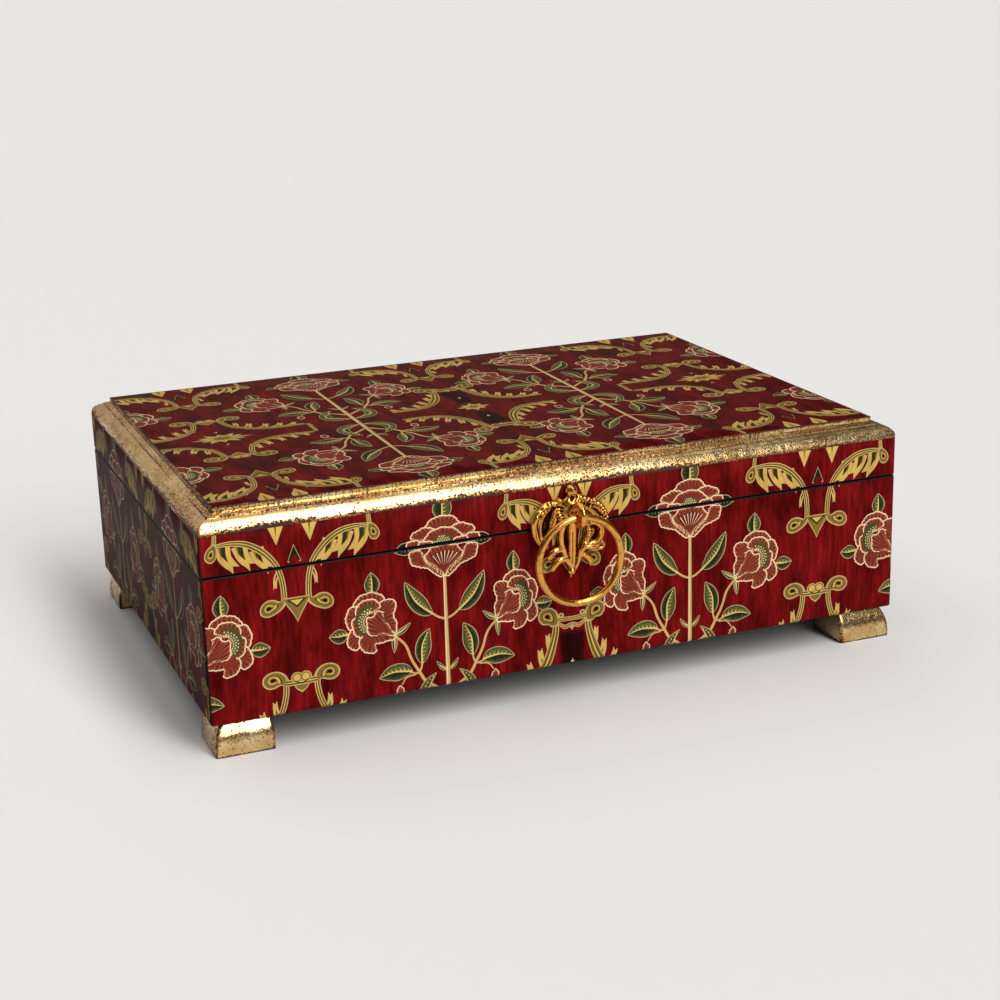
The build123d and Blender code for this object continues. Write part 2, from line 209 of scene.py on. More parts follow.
# %% [markdown]
# ## Drawing on flat paper
#
# The pattern is drawn as a printer's artist would draw it, as flat areas of ink laid one over
# another. A point on the paper is a complex number, x + 1j * y in millimetres, because turning,
# mirroring and stepping sideways are then one short sum each. The first helper makes a smooth curve
# through a few points, as a bent spline does for a draughtsman.

# %% Smooth curves
def smooth(points, closed=False, step=0.7):
    """Points along a smooth curve that passes through the given ones."""
    count = len(points)
    if closed:
        spans = [[points[(k + i) % count] for i in (-1, 0, 1, 2)] for k in range(count)]
    else:
        padded = [2 * points[0] - points[1], *points, 2 * points[-1] - points[-2]]
        spans = [padded[k:k + 4] for k in range(count - 1)]
    line = []
    for a, b, c, d in spans:
        parts = max(2, round(abs(c - b) / step))
        for i in range(parts):
            s = i / parts
            line.append(0.5 * (2 * b + (c - a) * s + (2 * a - 5 * b + 4 * c - d) * s**2
                               + (3 * b - a - 3 * c + d) * s**3))
    return line if closed else line + [points[-1]]


def between(values, share):
    """A value read from an evenly spaced list, by a share from 0 to 1."""
    place = min(max(share, 0), 1) * (len(values) - 1)
    k = min(int(place), len(values) - 2)
    return values[k] + (values[k + 1] - values[k]) * (place - k)


print("a curve through three points gets", len(smooth([0, 10 + 4j, 20])), "points")

# %% [markdown]
# ## Ribbons and insets
#
# A brush makes a line that swells and thins. Here such a line is a curve with a step to the left and
# one to the right at each of its points. The same sideways step moves a whole outline inwards, which
# gives a petal or a leaf its pale rim. A finished drawing can then be set elsewhere, or mirrored.

# %% Ribbons and insets
def heading(line, i):
    """The direction of an open line at one of its points."""
    return line[min(i + 1, len(line) - 1)] - line[max(i - 1, 0)]


def sideways(direction):
    """A step of one millimetre to the left of a direction."""
    return 1j * direction / (abs(direction) or 1)


def ribbon(points, widths, step=0.7):
    """The outline of a stroke along a smooth curve, with widths given evenly along it."""
    line = smooth(points, step=step)
    last = len(line) - 1
    left, right = [], []
    for i, point in enumerate(line):
        across = sideways(heading(line, i)) * between(widths, i / last) / 2
        left.append(point + across)
        right.append(point - across)
    return right + left[::-1]


def inset(outline, distance):
    """The outline moved inwards by a distance, corner by corner."""
    following = outline[1:] + outline[:1]
    turn = 1 if sum((a.conjugate() * b).imag for a, b in zip(outline, following)) > 0 else -1
    return [point + turn * sideways(following[i] - outline[i - 1]) * distance for i, point in enumerate(outline)]


def placed(shapes, shift=0, mirror=False, flip=False):
    """Copy inked shapes to another place, mirrored left to right or flipped top to bottom."""
    def move(z):
        z = -z.conjugate() if mirror else z
        return (z.conjugate() if flip else z) + shift
    return [(ink, [move(z) for z in outline]) for ink, outline in shapes]


def both_sides(shapes):
    """Inked shapes, and after them their mirror image."""
    return shapes + placed(shapes, mirror=True)


print("a test ribbon has", len(ribbon([0, 10 + 4j, 20], [2, 1])), "points")

# %% [markdown]
# ## The inks
#
# The print has a crimson ground, dusty pink roses with cream outlines, dark green leaves with
# yellow ribs, and ochre scrolls. Each ink is one colour; the grain, the streaks and the lacquer are
# added later, by the material, over all of them together.

# %% Ink colours
inks = {
    "ground": "#6c0e0f", "dusk": "#4a090d", "maroon": "#2c080b", "cream": "#f6dab0", "salmon": "#a9603f",
    "petal": "#803429", "petal_deep": "#521213", "leaf_rim": "#b7a979", "leaf": "#655f38", "leaf_dark": "#252b1c",
    "rib": "#dcc470", "calyx": "#7d7c5c", "stem": "#d0ac70", "stem_shade": "#564623", "scroll_rim": "#cbae72",
    "gold": "#866a30", "gold_light": "#d8b15a", "scroll_shade": "#33341a", "stamen": "#cfc288",
    "stamen_shade": "#524d2c", "ink_green": "#1d221b",
}
print(len(inks), "inks")

# %% [markdown]
# ## Ruffles and hatching
#
# The roses look engraved and then washed with colour. Two habits of the engraver make that look:
# the edge of a petal trembles a little, and fine strokes run from the edge towards the petal's root
# in uneven lengths. The strokes are slim triangles, which keeps the mesh light, and the unevenness
# comes from a sum that gives the same numbers each time.

# %% Ruffles and hatching
def jitter(seed):
    """A repeatable number from 0 to 1."""
    return (sin(12.9898 * seed + 4.1414) * 43758.5453) % 1


def ruffled(outline, height=0.11, length=1.9):
    """The outline with small uneven waves, like the edge of a petal."""
    walked, moved = 0, []
    for i, point in enumerate(outline):
        following = outline[(i + 1) % len(outline)]
        wave = sin(tau * walked / length) * (0.4 + jitter(i // 4)) + 1.1 * sin(tau * walked / (length * 2.7) + 1.3)
        moved.append(point + sideways(following - outline[i - 1]) * height * wave)
        walked += abs(following - point)
    return moved


def stroke(start, end, width):
    """A slim triangle from start to end."""
    side = sideways(end - start) * width / 2
    return [start - side, end, start + side]


def comb(outline, root, spacing, reach, colours, width=0.36):
    """Strokes from inside the outline towards the root, in alternating inks and uneven lengths."""
    shapes, walked = [], 0
    for i, point in enumerate(outline):
        walked += abs(point - outline[i - 1])
        way = root - point
        if walked >= spacing and abs(way) > 2.0:
            walked = 0
            length = min(reach * (0.55 + 0.9 * jitter(i + point.real)), abs(way) * 0.75)
            shapes.append((colours[len(shapes) % len(colours)], stroke(point, point + way / abs(way) * length, width)))
    return shapes


print("a ruffled square keeps its", len(ruffled([0, 1, 1 + 1j, 1j])), "corners")

# %% [markdown]
# ## Petals
#
# A petal is printed from the outside in: a cream outline, a salmon band, a rose wash, and last the
# comb of strokes. Each layer is the outline moved a little further inwards, so one closed curve
# through a few points is all that a petal needs.

# %% Petals
def petal(points, root, edge=0.5, reach=2.6):
    """One petal: cream outline, salmon band, wash, and strokes towards the root."""
    outline = ruffled(smooth(points, closed=True, step=0.5))
    shapes = [("cream", outline), ("salmon", inset(outline, edge)), ("petal", inset(outline, edge + 0.5))]
    return shapes + comb(inset(outline, edge + 0.1), root, 0.75, reach, ("salmon", "petal_deep"))


def blob(centre, wide, tall, count=14):
    """An ellipse about a centre, with its half axes."""
    return [centre + complex(wide * cos(tau * i / count), tall * sin(tau * i / count)) for i in range(count)]


print("a small petal takes", len(petal([0, 6 - 2j, 8, 6 + 2j], 0)), "areas of ink")

# %% [markdown]
# ## Leaves
#
# A leaf of this print has a pale rim, one half darker than the other, hatching in the other half's
# ink, short yellow veins and a strong yellow midrib. All of it hangs on a curved spine: the rim is a
# step to each side that swells and closes, and every layer inside it is a shorter step.

# %% Leaves
def leaf(spine, width, fuller=0.0, dark=1, colours=("leaf", "leaf_dark"), rim=0.34, hatch=True):
    """A leaf along a curved spine. fuller moves its width to the left side; dark is the shaded side."""
    line = smooth(spine, step=0.8)
    last = len(line) - 1
    whole, inner = range(last + 1), range(1, last)

    def edge(i, sign, share, less=0.0):
        half = width / 2 * sin(pi * (i / last) ** 0.82) ** 0.8 * (1 + sign * fuller)
        return line[i] + sign * sideways(heading(line, i)) * max(half * share - less, 0.0)

    shapes = [("leaf_rim", [edge(i, 1, 1) for i in whole] + [edge(i, -1, 1) for i in whole][::-1]),
              (colours[0], [edge(i, 1, 1, rim) for i in inner] + [edge(i, -1, 1, rim) for i in inner][::-1]),
              (colours[1], [line[i] for i in inner] + [edge(i, dark, 0.9, rim) for i in inner][::-1])]
    for i in range(2, last) if hatch else ():
        for sign in (-1, 1):
            ink = colours[0] if sign == dark else colours[1]
            outer = edge(i, sign, 1, rim + 0.05)
            length = 0.4 + 0.3 * jitter(i + sign)
            shapes.append((ink, stroke(outer, outer + (line[i - 2] - outer) * length, 0.42)))
        if i % 2:
            root = line[i - 1]
            shapes.append(("rib", stroke(root, root + (edge(i, -dark, 0.75) - root) * 0.7, 0.5)))
    return shapes + [("rib", ribbon([line[0], line[last // 2], line[max(last - 2, 1)]], [0.8, 0.62, 0.2], 1.2))]


def sepal(spine, width, colours=("calyx", "leaf_dark")):
    """A small plain leaf at the foot of a rose."""
    return leaf(spine, width, 0, 1, colours, 0.25, False)


print("a leaf takes", len(leaf([0, 5 + 1j, 10], 4)), "areas of ink")

# %% [markdown]
# ## The side rose
#
# A side rose is half turned away. Its outer petals are laid first, then the seed patch, then the
# one front petal that curls over it. Each petal is a closed curve through a few points, drawn about
# the middle of the rose.

# %% The side rose
def seeds(places, size=0.4):
    """Small pale dots over a shaded patch."""
    return [("stamen", blob(place, size, size, 5)) for place in places]


def side_rose():
    """A half-turned rose about the origin, whose stalk leaves at the lower left."""
    root = -10 - 8.4j
    shapes = leaf([-1.4 + 9.8j, -1.7 + 14j, -1.4 + 19.2j], 6.4) + leaf([9 - 4.8j, 13 - 5.2j, 16.8 - 4.8j], 6.2, 0, -1)
    shapes += sepal([root, -13.6 - 6.8j, -17 - 4.1j], 2.5) + sepal([root, -9.9 - 12j, -9.6 - 16j], 2.5)
    outer = [
        [-7 + 4j, -6.9 + 7.3j, -4.6 + 10j, -0.7 + 11.2j, 3.9 + 10j, 6.4 + 7j, 6 + 3j, -2 + 3j],
        [3 + 5.4j, 6.6 + 6.4j, 8.9 + 4.7j, 9.9 + 0.8j, 8.4 - 3.2j, 4 - 2j],
        [5.4 + 0.2j, 8.1 - 3.6j, 9.7 - 7j, 8.9 - 10.8j, 5.3 - 12j, 2.6 - 8j, 2.4 - 3j],
        [-9.9 - 8.2j, -9.6 - 10.1j, -5.3 - 10.8j, -2.2 - 11.2j, -2.5 - 13.5j, -0.6 - 14.7j, 3.2 - 13.1j, 4.8 - 10.2j,
         4.2 - 6.6j, 0 - 5j],
        [-10.3 - 7.6j, -11.4 - 3.8j, -10.3 + 0.2j, -11.5 + 4.6j, -9.5 + 7j, -6.5 + 7.2j, -3.4 + 5.4j, -2 + 2j,
         -5 - 3j],
        [-4.6 + 4j, -3.6 + 7.2j, 0.2 + 8.5j, 3.9 + 7.2j, 5.6 + 4.5j, 5 + 1j, 1 + 2j],
        [3.4 + 1.6j, 6.8 + 1.2j, 7.4 - 2j, 6.2 - 5.8j, 3.4 - 7.4j, 2.6 - 3j],
    ]
    for points in outer:
        shapes += petal(points, -1 - 2j)
    patch = [-1.6 + 5.2j, 1.8 + 4.2j, 3.9 + 0.8j, 3.6 - 3j, 2.2 - 6.4j]
    shapes.append(("stamen_shade", ribbon(patch, [1.6, 3.6, 4, 3.6, 1.6])))
    shapes += seeds([-1 - 1j + (3.4 + 0.95 * row) * complex(cos(radians(a)), sin(radians(a)))
                     for row in range(3) for a in range(88 - 8 * (row % 2), -58, -15)])
    front = [-10.1 - 8.6j, -7.8 - 3.8j, -5.7 + 0.4j, -6 + 2.1j, -3.4 + 3j, -1.4 + 1j, 1 + 0.8j, 1.4 - 2.5j, 0.4 - 6.8j,
             -2.4 - 7.3j, -6 - 7.4j]
    return shapes + petal(front, root, 0.46, 4.6)


print("side rose:", len(side_rose()), "areas of ink")

# %% [markdown]
# ## The crown rose
#
# The crown rose stands upright at the head of its stem, with its seeds under an arched petal and a
# fan-shaped petal below. It is symmetric, so its paired petals are drawn once and mirrored.

# %% The crown rose
def crown_rose():
    """The upright rose at the head of a stem; its seed patch is at the origin."""
    shapes = leaf([9.6j, 15j, 20.5j], 8.2)
    halves = [
        [13.4 + 3.3j, 13.1 + 5.3j, 10.7 + 6.8j, 7.8 + 7.6j, 4.3 + 7j, 3 + 4j, 8 + 2j],
        [14 - 1.8j, 14.6 - 4.2j, 13.3 - 7.4j, 11 - 8.5j, 8.1 - 9.3j, 5.6 - 10.9j, 2.3 - 13.8j, 0.6 - 13.1j,
         4.6 - 9j, 7.4 - 6.6j, 8.4 - 3.4j, 10.2 - 1.4j],
        [15.2 - 0.6j, 15.2 + 2.1j, 12.9 + 3j, 9.7 + 2.2j, 10 - 1j],
        [11 - 0.9j, 9.6 + 1.9j, 6.6 + 1.9j, 4.4 + 1.2j, 4.4 - 1.2j],
    ]
    shapes += both_sides(leaf([12.5 - 0.4j, 16.4 - 0.2j, 20.4 - 1j], 5.4, 0, 1, ("leaf_dark", "ink_green")))
    shapes += petal([-7.6 + 6j, -6.6 + 9j, -3.6 + 11.1j, 11.5j, 3.6 + 11.1j, 6.4 + 9j, 7 + 6j, 3j], 0)
    shapes.append(("petal_deep", [-13 - 2j, 13 - 2j, 13 + 2j, -13 + 2j]))
    for points in halves[:2]:
        shapes += both_sides(petal(points, 1 - 3j))
    arch = [-8.4 + 1.4j, -6.4 + 4.8j, -3.1 + 6.4j, 6.8j, 3.1 + 6.4j, 6.4 + 4.6j, 8.2 + 1.4j, 4 + 0.2j, -4 + 0.2j]
    shapes += petal(arch, 0, reach=1.8)
    shapes.append(("stamen_shade", [-5.2 + 0.4j, -3 + 2.9j, 3.9j, 3 + 2.9j, 5.2 + 0.4j, 4 - 1j, -4 - 1j]))
    shapes += seeds([complex(1.02 * (x - (row % 2) / 2), 0.2 + row * 0.9)
                     for row in range(4) for x in range(row - 4, 5 - row)])
    for points in halves[2:]:
        shapes += both_sides(petal(points, 4 - 4j, reach=1.2))
    fan = [-8.1 - 4.2j, -6.6 - 2.6j, -5.7 - 1.2j, -3.2 - 0.7j, -0.4j, 3.2 - 0.7j, 5.7 - 1.2j, 6.6 - 2.6j, 8.2 - 4.2j,
           7.6 - 6.2j, 4.9 - 8.5j, 2 - 11j, -13.6j, -2 - 11j, -4.9 - 8.5j, -7.6 - 6.2j]
    shapes += petal(fan, -13.6j, 0.46, 2.4)
    for k in range(-3, 4):
        edge = complex(1.7 * k, -2.6 - 0.16 * k * k)
        shapes.append(("petal_deep", stroke(edge - 0.4j, -11.4j + 0.3 * k, 0.7)))
        shapes.append(("cream", stroke(edge - 0.6j + 0.6, -9j + 0.5 * k, 0.42)))
    return shapes


print("crown rose:", len(crown_rose()), "areas of ink")

# %% [markdown]
# ## The spray
#
# One spray is an upright stem with the crown rose at its head, a pair of leaves half way up and a
# side rose on a curved stalk at each side. Rose sprays and acanthus scrolls are common ornament. The
# shapes here are drawn afresh, from a few points each, and are simpler than the print's.

# %% The spray
def half_spray(narrow):
    """The right-hand side of a spray about its stem, with y measured from the cloth's middle line."""
    shapes = []
    stalk = [1 + 13j, 5 + 17j, 9.3 + 20.2j, 12 + 24.7j, 15.1 + 30.5j, 17.4 + 37j, 21.8 + 42j]
    shapes.append(("stem", ribbon(stalk, [1.3, 1.3, 1.2, 1.1, 1, 0.9])))
    rose = [(ink, [complex(z.real * narrow, z.imag) for z in outline]) for ink, outline in side_rose()]
    shapes += placed(rose, 21.8 + 10 * narrow + 50.4j)
    shapes.append(("stem", ribbon([12 + 24.7j, 11.2 + 26.4j, 10.8 + 28.4j], [0.8, 0.8, 0.7])))
    shapes += leaf([10.8 + 28j, 10.9 + 33j, 9.8 + 38j, 7.2 + 42.6j], 6.9, 0.16, -1)
    shapes.append(("stem", ribbon([12.2 + 24.4j, 14 + 24.6j, 15.6 + 25.4j], [0.8, 0.8, 0.7])))
    shapes += leaf([15 + 25.6j, 19 + 26.6j, 24 + 26.3j, 29 + 24.8j], 7.4, -0.1, -1)
    shapes.append(("stem", ribbon([13.6 + 24j, 17.4 + 23.4j, 19.6 + 20.6j], [0.7, 0.6, 0.5])))
    bud = [20.3 + 20.4j, 22 + 18.6j, 21.6 + 16j, 20.2 + 14.9j, 18.9 + 16.2j, 18.8 + 18.8j]
    shapes += petal(bud, bud[0], 0.32, 1)
    shapes += leaf([1.2 + 5.4j, 6.4 + 7j, 10 + 12j, 9 + 18.6j, 4.8 + 23.4j], 5.6, -0.1, 1)
    shapes.append(("stem", ribbon([45.4j, 3 + 46.6j, 6 + 48.8j], [0.9, 0.9, 0.8])))
    shapes += leaf([5.6 + 48.4j, 9.4 + 51j, 13.6 + 56.4j, 16.8 + 63.4j], 7.2, 0.06, -1)
    return shapes + sepal([23.6j, 2.4 + 25j, 4.7 + 28.2j], 1.9, ("leaf_dark", "ink_green"))


def spray(left=1.0, right=1.0):
    """A whole spray: both halves, the stem and the crown rose. A half may be narrower."""
    shapes = half_spray(right) + placed(half_spray(left), mirror=True)
    for ink, shift, widths in (("stem_shade", 0.35, [1.7, 1.5, 1.1]), ("stem", 0, [1.9, 1.6, 1.2]),
                               ("cream", -0.35, [0.4, 0.35, 0.25])):
        shapes.append((ink, ribbon([shift, shift + 30j, shift + 63.8j], widths)))
    return shapes + placed(crown_rose(), 77j)


print("spray:", len(spray()), "areas of ink")

# %% [markdown]
# ## Scrolls
#
# Acanthus scrollwork is put together from three things: a ribbed band, the rolled end that a band
# curls into, and the leaf lobe that springs from it like a flame. All three are layers of the same
# four ochre inks, from the pale rim to the dark line beside the light one.

# %% Scrolls
def band(points, widths):
    """A scroll: a pale rim, an ochre body, and a light line between two dark ones along it."""
    shapes = []
    for ink, share, less in (("scroll_rim", 1, 0), ("gold", 1, 0.75), ("scroll_shade", 0.42, 0),
                             ("gold_light", 0.2, 0)):
        shapes.append((ink, ribbon(points, [max(w * share - less, 0.12) for w in widths])))
    return shapes


def rolled_end(points, eye):
    """The rolled end of a scroll: a closed drop with lines round a dark eye."""
    outline = smooth(points, closed=True, step=0.6)
    shapes = [("scroll_rim", outline)]
    for ink, size in (("gold", 0.85), ("scroll_shade", 0.55), ("gold_light", 0.47), ("gold", 0.32), ("maroon", 0.2)):
        shapes.append((ink, [eye + (z - eye) * size for z in outline]))
    return shapes


def flame(spine, width):
    """A leaf lobe on a scroll: dark at its root, bright and split in two at its tip."""
    line = smooth(spine, step=0.9)
    last = len(line) - 1
    left, right = [], []
    for i, point in enumerate(line):
        half = sideways(heading(line, i)) * width / 2 * (1.3 - 0.55 * i / last)
        left.append(point + half)
        right.append(point - half)
    end = line[-1] - line[-2]
    end /= abs(end)
    split = [left[-1] + end * width * 0.3, line[-1] - end * width * 0.25, right[-1] + end * width * 0.15]
    outline = left + split + right[::-1]
    dark_end, half_way = max(2 * last // 3, 2), last // 2
    dark_line = [line[0], line[(dark_end + 1) // 2], line[dark_end]]
    return [("scroll_rim", outline), ("gold_light", inset(outline, 0.34)),
            ("scroll_shade", ribbon(dark_line, [width * 0.6, width * 0.34, 0.1], 2)),
            ("gold", stroke(line[0] + (left[0] - line[0]) * 0.3, left[half_way] * 0.6 + line[half_way] * 0.4,
                            width * 0.2))]


print("a flame takes", len(flame([0, 2 + 4j, 8j], 3)), "areas of ink")

# %% [markdown]
# ## The winged upper scroll
#
# Across the top of the cloth, between two sprays, a pair of winged scrolls meets over a pendant
# triangle, with drops above it and a chevron between. Half of it is drawn and the rest mirrored; the
# middle one of the front is a little narrower than the others, so its width can be scaled.

# %% The upper scroll
def upper_half_scroll(reach):
    """The right half of the winged upper scroll."""
    def out(*points):
        return [complex(z.real * reach, z.imag) for z in points]

    shapes = []
    for spine, width in (((27.8 + 88.6j, 26.6 + 83.6j, 23.2 + 79.4j), 5),
                         ((21.2 + 88.2j, 19.8 + 83.6j, 16.8 + 79.6j), 4.8),
                         ((14.6 + 85.8j, 13 + 81.4j, 9.8 + 77.4j), 4.6), ((6 + 76j, 7.8 + 72.8j, 8.2 + 69j), 1.6)):
        shapes += flame(out(*spine), width)
    wing = out(5 + 62.6j, 4.9 + 67j, 5.6 + 73j, 7.6 + 78.6j, 12.2 + 84.2j, 18 + 88j, 24 + 89.3j, 30.4 + 89.2j)
    shapes += band(wing, [2.3, 2.3, 2.3, 2.6, 2.8, 2.6, 2.2, 1.4])
    lower = out(4 + 64j, 4.6 + 61.6j, 7.4 + 59.2j, 11.4 + 57.7j, 14.3 + 58.8j, 14.6 + 61.8j, 12.4 + 64.2j,
                9.4 + 64.6j, 6.3 + 63.4j)
    shapes += rolled_end(lower, *out(11.4 + 61.2j))
    shapes += band(out(30.2 + 97j, 30.4 + 92j, 30.8 + 89j), [1.6, 1.6, 1.8])
    upper = out(30 + 89.8j, 31.7 + 89.7j, 34 + 87.4j, 34.6 + 84.6j, 33 + 82.8j, 30.8 + 83.4j, 29.7 + 86.4j)
    return shapes + rolled_end(upper, *out(32.1 + 86j))


def upper_scroll(reach=1.0):
    """Wings, drops, chevron and the pendant triangle between the stems."""
    right = upper_half_scroll(reach)
    drop = [3.6 + 97.5j, 3.5 + 93.6j, 4.8 + 90.6j, 6.7 + 86.2j, 8.5 + 90.6j, 9.8 + 93.6j, 9.7 + 97.5j]
    right += [("scroll_rim", drop), ("gold_light", inset(drop, 0.4)), ("gold", stroke(6.7 + 96j, 6.7 + 89j, 1.6))]
    chevron = [0j, 2.8 - 7j, 2 - 7.2j, 0.9 - 4.8j, -4j]
    right.append(("leaf_rim", [z + 85.7j for z in chevron]))
    right.append(("ink_green", [z * 0.86 + 85.1j for z in chevron]))
    shapes = both_sides(right)
    triangle = [-5.4 + 64.4j, 5.4 + 64.4j, 3.9 + 61j, 1.6 + 57.4j, 54.2j, -1.6 + 57.4j, -3.9 + 61j]
    return shapes + [("scroll_rim", triangle), ("gold", inset(triangle, 0.42)),
                     ("scroll_shade", [-4 + 63.6j, 4 + 63.6j, 60j]),
                     ("gold_light", [-2.6 + 63.3j, 2.6 + 63.3j, 61j])]


print("upper scroll:", len(upper_scroll()), "areas of ink")

# %% [markdown]
# ## Half a lower bracket
#
# Under each winged scroll stands a bracket with spreading legs, whose heads curl outwards. There are
# two kinds: a short one with slim legs, and a tall one with broader, leafier legs that stands under
# the pull. Both are drawn the same way, from their own points.

# %% Half a bracket
def lower_half_bracket(tall):
    """The right half of the lower bracket; the tall kind has broader, leafier legs."""
    if tall:
        legs = [7.8 + 38.6j, 7.2 + 33j, 8.8 + 26j, 11.4 + 19j, 15.4 + 13j, 21 + 8.6j, 29 + 7.2j, 36 + 7.2j]
        widths = [2.6, 3, 3.8, 4.2, 3.8, 3.2, 2.6, 1.4]
        lobes = [([9 + 22.6j, 10.4 + 26.6j, 10.9 + 31j], 2.4), ([12 + 16.6j, 13.8 + 20.6j, 14.4 + 25j], 2.8),
                 ([15.4 + 12.4j, 18 + 15.6j, 19.4 + 19.8j], 2.8)]
    else:
        legs = [7.6 + 33j, 6.3 + 28.4j, 7 + 22.7j, 9 + 17.3j, 13.5 + 12j, 20 + 8.5j, 28 + 7.3j, 38.6 + 7.4j]
        widths = [2.4, 2.4, 2.4, 2.6, 3, 3, 2.6, 2]
        lobes = [([9 + 14.6j, 10.8 + 18j, 11.2 + 22.4j], 2.4), ([12.6 + 11.6j, 15.4 + 14.4j, 16.6 + 18.6j], 3)]
    lobes += [([19 + 8.6j, 22 + 11.4j, 23.2 + 15.2j], 3), ([24.4 + 7.4j, 27.6 + 9.6j, 29.4 + 13.4j], 3),
              ([30.4 + 7j, 33.4 + 8.8j, 35.2 + 11.8j], 2.6)]
    shapes = []
    for spine, width in lobes:
        shapes += flame(spine, width)
    shapes += band(legs, widths)
    if tall:
        curl = [5.9 + 34.6j, 6.2 + 39.4j, 8.6 + 42.2j, 11.8 + 42.5j, 14.4 + 41j, 14.8 + 38j, 13 + 35.6j,
                10.6 + 35.3j, 8.8 + 34j]
        return shapes + rolled_end(curl, 11 + 38.9j)
    shapes += band([39.8 + 0j, 40.2 + 3.4j, 39.6 + 7j], [1.6, 1.6, 1.8])
    curl = [5 + 28.6j, 5.7 + 32.4j, 8.4 + 34.8j, 11.8 + 35.2j, 14.8 + 33.8j, 15.7 + 31j, 14 + 28.6j,
            11.2 + 28.2j, 8 + 29.2j]
    return shapes + rolled_end(curl, 11.6 + 31.7j)


print("half a bracket takes", len(lower_half_bracket(False)), "areas of ink, or", len(lower_half_bracket(True)))

# %% [markdown]
# ## The lower bracket and its star
#
# A bar ties the two halves of a bracket together, and between its legs, on the middle line of the
# cloth, lies a pointed flower. The lid shows that line, so there the flower is seen whole. The tall
# bracket also has a dusky shield behind it, which reads as a deep shade.

# %% The lower bracket
def flower_star(wide, tall, points):
    """A pointed flower on the middle line."""
    star = []
    for i in range(2 * points):
        a = pi * i / points
        size = (1.0, 0.55)[i % 2] * (1 - 0.16 * (i % 4 == 2))
        star.append(complex(wide * size * cos(a), tall * size * sin(a)))
    shapes = [("scroll_rim", star), ("gold_light", [0.88 * z for z in star])]
    shapes += [("scroll_shade", stroke(0.2 * star[i], 0.8 * star[i], 0.7)) for i in range(0, 2 * points, 2)]
    return shapes + [("gold", blob(0, wide * 0.26, tall * 0.3, 10))]


def tall_bracket():
    """The tall bracket, with the shield behind it and a knop on its bar."""
    shapes = []
    for ink, less in (("dusk", 0), ("maroon", 1.1)):
        half_shield = [complex(x, 0) * (6.2 - less) / 6 + 1j * y
                       for x, y in ((3.4, 8.4 + less), (4.6, 18), (6, 31 - less))]
        shapes.append((ink, [-half_shield[0].conjugate(), *half_shield,
                             -half_shield[2].conjugate(), -half_shield[1].conjugate()]))
    shapes += both_sides(lower_half_bracket(True))
    shapes += band([-6.6 + 36.8j, 36.6j, 6.6 + 36.8j], [2, 1.8, 2])
    for sign in (-1, 1):
        middle = sign * 4.8 + 38.5j
        shapes += [("scroll_rim", blob(middle, 1.3, 1.1)), ("scroll_shade", blob(middle, 0.5, 0.4))]
    shapes += band([-6 + 35.2j, -3 + 33.2j, 34.2j, 3 + 33.2j, 6 + 35.2j], [1.1, 1.9, 1.4, 1.9, 1.1])
    shapes.append(("scroll_rim", [-1.4 + 33.4j, 1.4 + 33.4j, 31.4j]))
    spark = [complex(1.1 * sin(tau * i / 8), 1.4 * cos(tau * i / 8)) * (1, 0.35)[i % 2] + 17.8j for i in range(8)]
    return shapes + [("cream", spark)] + flower_star(8, 6.6, 8)


def short_bracket():
    """The short bracket, with a double knop on its bar."""
    shapes = both_sides(lower_half_bracket(False))
    shapes += band([-6.4 + 29.6j, 29.4j, 6.4 + 29.6j], [2.6, 2.4, 2.6])
    for ink, less in (("scroll_rim", 0), ("gold", 0.4), ("gold_light", 0.9)):
        shapes += [(ink, blob(x + 31.4j, 2.4 - less, 2.3 - less)) for x in (-1.8, 1.8)]
    shapes += [("scroll_rim", [-3.4 + 28.6j, 3.4 + 28.6j, 2 + 26.4j, 24.9j, -2 + 26.4j]),
               ("gold", [-2.8 + 28.2j, 2.8 + 28.2j, 1.6 + 26.6j, 25.7j, -1.6 + 26.6j]),
               ("scroll_shade", ribbon([-3 + 30j, 28.9j, 3 + 30j], [0.3, 0.6, 0.3])),
               ("cream", [-0.9 + 11.6j, 9.4j, 0.9 + 11.6j, 10.6j])]
    return shapes + flower_star(13.4, 7.8, 12)


print("tall bracket:", len(tall_bracket()), "areas of ink; short bracket:", len(short_bracket()))

# %% [markdown]
# ## Cutting the cloth into sheets
#
# The pattern repeats along the length of the box: sprays, with a tall or a short bracket between
# each two. It is drawn upwards from a middle line. A wall shows it from just above that line, and
# the lid's panel shows it twice, mirrored about the line. Every wall has one run of the pattern that
# carries on from the case across the seam to the lid, as it does on the real box.

# %% Compose the cloth
def cloth(sprays, tall, short):
    """All ink areas of a run of the pattern, from the lowest layer to the highest."""
    shapes = []
    for x in short:
        shapes += placed(upper_scroll() + short_bracket(), x)
    for x in tall:
        shapes += placed(upper_scroll(0.9) + tall_bracket(), x)
    for x, left, right in sprays:
        shapes += placed(spray(left, right), x)
    return shapes


front_cloth = cloth(((-175.5, 1, 1), (-55, 1, 0.9), (53.5, 0.9, 1), (174.5, 1, 1)), (-0.5,), (-115.5, 114))
side_cloth = cloth(((-160, 1, 1), (-52, 1, 0.9), (56, 0.9, 1), (164, 1, 1)), (2,), (-106, 110))
print("areas of ink on the front cloth:", len(front_cloth))

# %% [markdown]
# ## Eased edges and covered points
#
# The boards' edges are eased, and the paper bends over them. So a point of the sheet lies below the
# flat face by a depth that comes from its distance to the rounded edge, and the sheet needs a few
# rows of points there. Overprinting needs one more question answered for many points at once: which
# of them lie inside an outline? Their winding number says so, and numpy counts it for all of them.

# %% Eased edges and covered points
def guide_offsets(radius, start):
    """Distances from a rounded edge at which the sheet gets a row of points, so that it bends evenly."""
    turn = asin(1 - start / radius)
    return [radius * (1 - sin(turn * k / 4)) for k in range(5)]


